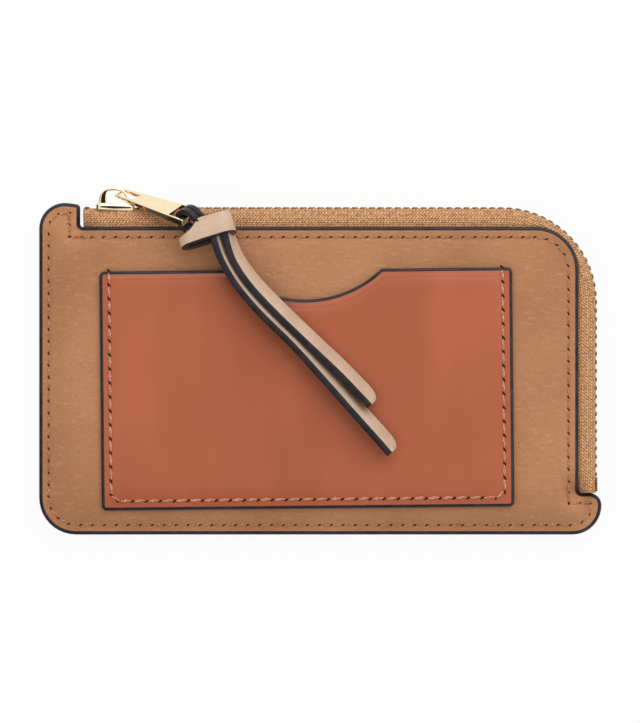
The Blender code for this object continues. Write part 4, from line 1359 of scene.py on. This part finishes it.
def add_band(work, middle):
    """The band round the turns, tapered by the puller's tip, its inner face dark as painted shade."""
    turn = Matrix.Rotation(KNOT_TURN, 3, "Z") @ Matrix.Rotation(KNOT_TILT, 3, "X")
    along, across, depth = (turn @ Vector(way) for way in ((1, 0, 0), (0, 1, 0), (0, 0, 1)))
    half_thickness = STRAP_THICKNESS / 2
    half_length = KNOT_HALF_LENGTH - half_thickness
    half_depth = (KNOT_DEPTH - STRAP_THICKNESS) / 2
    outline = rounded_box(half_length, half_depth, half_depth * KNOT_ROUND, KNOT_ROUND_STEPS)
    outline = subdivided(outline, OUTLINE_SPACING / 2)
    stations = []
    for spot, station in zip(outline, loop_stations(middle, (along, depth, across), outline)):
        place, _, through, _ = station
        lost = KNOT_TAPER * ease((KNOT_TAPER_FROM - spot.x) / KNOT_TAPER_LENGTH)
        stations.append((place - across * (lost * STRAP_WIDTH / 2), across, through, 1.0 - lost))
    # The band's inner half takes the dark paint: painted shade inside the band's hollow.
    strip(work, stations, True, half_thickness)


def tail_stations(points):
    """Stations of a tail that leans more and more off the front, with one corner of its tip rounded."""
    stations = []
    last = len(points) - 1
    for index, point in enumerate(points):
        along = (points[min(index + 1, last)] - points[max(index - 1, 0)]).normalized()
        lean = KNOT_LEAN + (TAIL_LEAN - KNOT_LEAN) * ease(index / last / LEAN_SHARE)
        square = Vector((-along.y, along.x, 0.0)).normalized()
        across = FRONT * math.cos(lean) - square * math.sin(lean)
        through = square * math.cos(lean) + FRONT * math.sin(lean)
        stations.append((point, across, through, 1.0))
    for step in range(1, TIP_STEPS + 1):
        angle = math.pi / 2 * step / TIP_STEPS
        cut = TIP_ROUND * (1 - math.cos(angle))
        place = points[last] + along * (TIP_ROUND * math.sin(angle)) + across * (cut / 2)
        stations.append((place, across, through, 1.0 - cut / STRAP_WIDTH))
    return stations


def add_tails(work, pivot):
    """The two tails, from the band's height to where they rest on the pocket."""
    standing = math.hypot(STRAP_WIDTH, STRAP_THICKNESS) / 2
    resting = POCKET_HIGH_CORNER.z + STRAP_LIFT + standing
    leaving = pivot.z + KNOT_OFFSET.z
    for hidden, route in (((), UPPER_TAIL), (KNOT_STRAND, LOWER_TAIL)):
        points = []
        for index, (x, y) in enumerate(hidden + route):
            height = leaving + (resting - leaving) * ease((index - len(hidden)) / TAIL_RISE_POINTS)
            points.append(Vector((pivot.x + x * MM, pivot.y + y * MM, height)))
        strip(work, tail_stations(smooth_route(points, ROUTE_STEPS)))


def make_strap():
    """The leather strip hitched on the puller's end: turns on the bar, a band round them and two tails."""
    swing = next(joint for joint in frame["joints"] if joint["name"] == "strap_swing")
    pivot = Vector(swing["pos_m"])
    work = bmesh.new()
    add_turns(work, pivot, Vector(swing["axis"]).normalized())
    add_band(work, pivot + KNOT_OFFSET)
    add_tails(work, pivot)
    strap = new_piece("hitched_strap", to_mesh("hitched_strap", work), (STRAP_SKIN, PAINT))
    settle(strap, "strap", "strap_leather", "pull_strap")


def darkness(nodes, place, reach):
    """How far a place lies towards the dark side, from 0 to 1."""
    return nodes.spread(nodes.vector("DOT_PRODUCT", place, DARK_SIDE).outputs["Value"], *reach)


def make_world():
    """A white room; in mirrors it also shows the dark place of the camera and a dark side."""
    world = bpy.data.worlds.new("studio")
    world.use_nodes = True
    bpy.context.scene.world = world
    nodes = Nodes(world.node_tree)
    way = nodes.add("ShaderNodeTexCoord").outputs["Generated"]
    above = nodes.add("ShaderNodeSeparateXYZ", {0: way}).outputs["Z"]
    dark = nodes.larger(darkness(nodes, way, DARK_ROOM), nodes.spread(above, *DARK_ABOVE))
    ray = nodes.add("ShaderNodeLightPath").outputs
    seen = nodes.larger(ray["Is Camera Ray"], ray["Is Glossy Ray"])
    nodes.feed(world.node_tree.nodes["Background"], {
        "Color": nodes.blend(nodes.times(dark, ray["Is Glossy Ray"]), WHITE, DARK_TONE),
        "Strength": nodes.spread(seen, 0.0, 1.0, ROOM_LIGHT, 1.0),
    })


def floor_paper():
    """White paper that glows where it is seen; in mirrors it has a dark side."""
    paper = bpy.data.materials.new("white_floor")
    paper.use_nodes = True
    nodes = Nodes(paper.node_tree)
    nodes.tree.nodes.remove(nodes.tree.nodes["Principled BSDF"])
    ray = nodes.add("ShaderNodeLightPath").outputs
    mirror = ray["Is Glossy Ray"]
    seen = nodes.larger(ray["Is Camera Ray"], nodes.larger(mirror, ray["Is Transmission Ray"]))
    lit = nodes.add("ShaderNodeBsdfDiffuse", {"Color": PAPER_TONE})
    spot = nodes.add("ShaderNodeTexCoord").outputs["Object"]
    shine = nodes.blend(nodes.times(darkness(nodes, spot, DARK_FLOOR), mirror), WHITE, DARK_TONE)
    glow = nodes.add("ShaderNodeEmission", {"Color": shine, "Strength": 1.0})
    mixed = nodes.add("ShaderNodeMixShader", {0: nodes.times(seen, FLOOR_GLOW), 1: lit, 2: glow})
    nodes.feed(nodes.tree.nodes["Material Output"], {"Surface": mixed})
    return paper


def make_floor():
    """A pale floor just under the pouch."""
    mesh = bpy.data.meshes.new("floor")
    work = bmesh.new()
    bmesh.ops.create_grid(work, x_segments=1, y_segments=1, size=FLOOR_HALF)
    bmesh.ops.translate(work, verts=work.verts, vec=(0.0, 0.0, -FLOOR_DROP))
    work.to_mesh(mesh)
    work.free()
    floor = new_piece("floor", mesh, [floor_paper()], smooth=False)


def make_lamps():
    """Soft lamps, turned to the pouch."""
    for name, place, size, power in LAMPS:
        lamp = bpy.data.lights.new(name, "AREA")
        lamp.size = size
        lamp.energy = power
        holder = link(name, lamp)
        holder.location = place
        holder.rotation_euler = (-Vector(place)).to_track_quat("-Z", "Y").to_euler()


def make_camera():
    """The camera, straight above the front."""
    camera = bpy.data.cameras.new("camera")
    camera.lens = CAMERA_LENS
    camera.sensor_width = SENSOR
    holder = link("camera", camera)
    reach = PHOTO_HEIGHT * PHOTO_SCALE / SENSOR * CAMERA_LENS
    holder.location = (*PHOTO_CENTRE, CHAIN_Z + reach)
    bpy.context.scene.camera = holder
    bpy.context.scene.view_settings.view_transform = "Standard"


make_panels()
make_pocket()
make_linings()
make_sewn_edge()
make_zip()
make_metal()
make_strap()
make_floor()
make_world()
make_lamps()
make_camera()
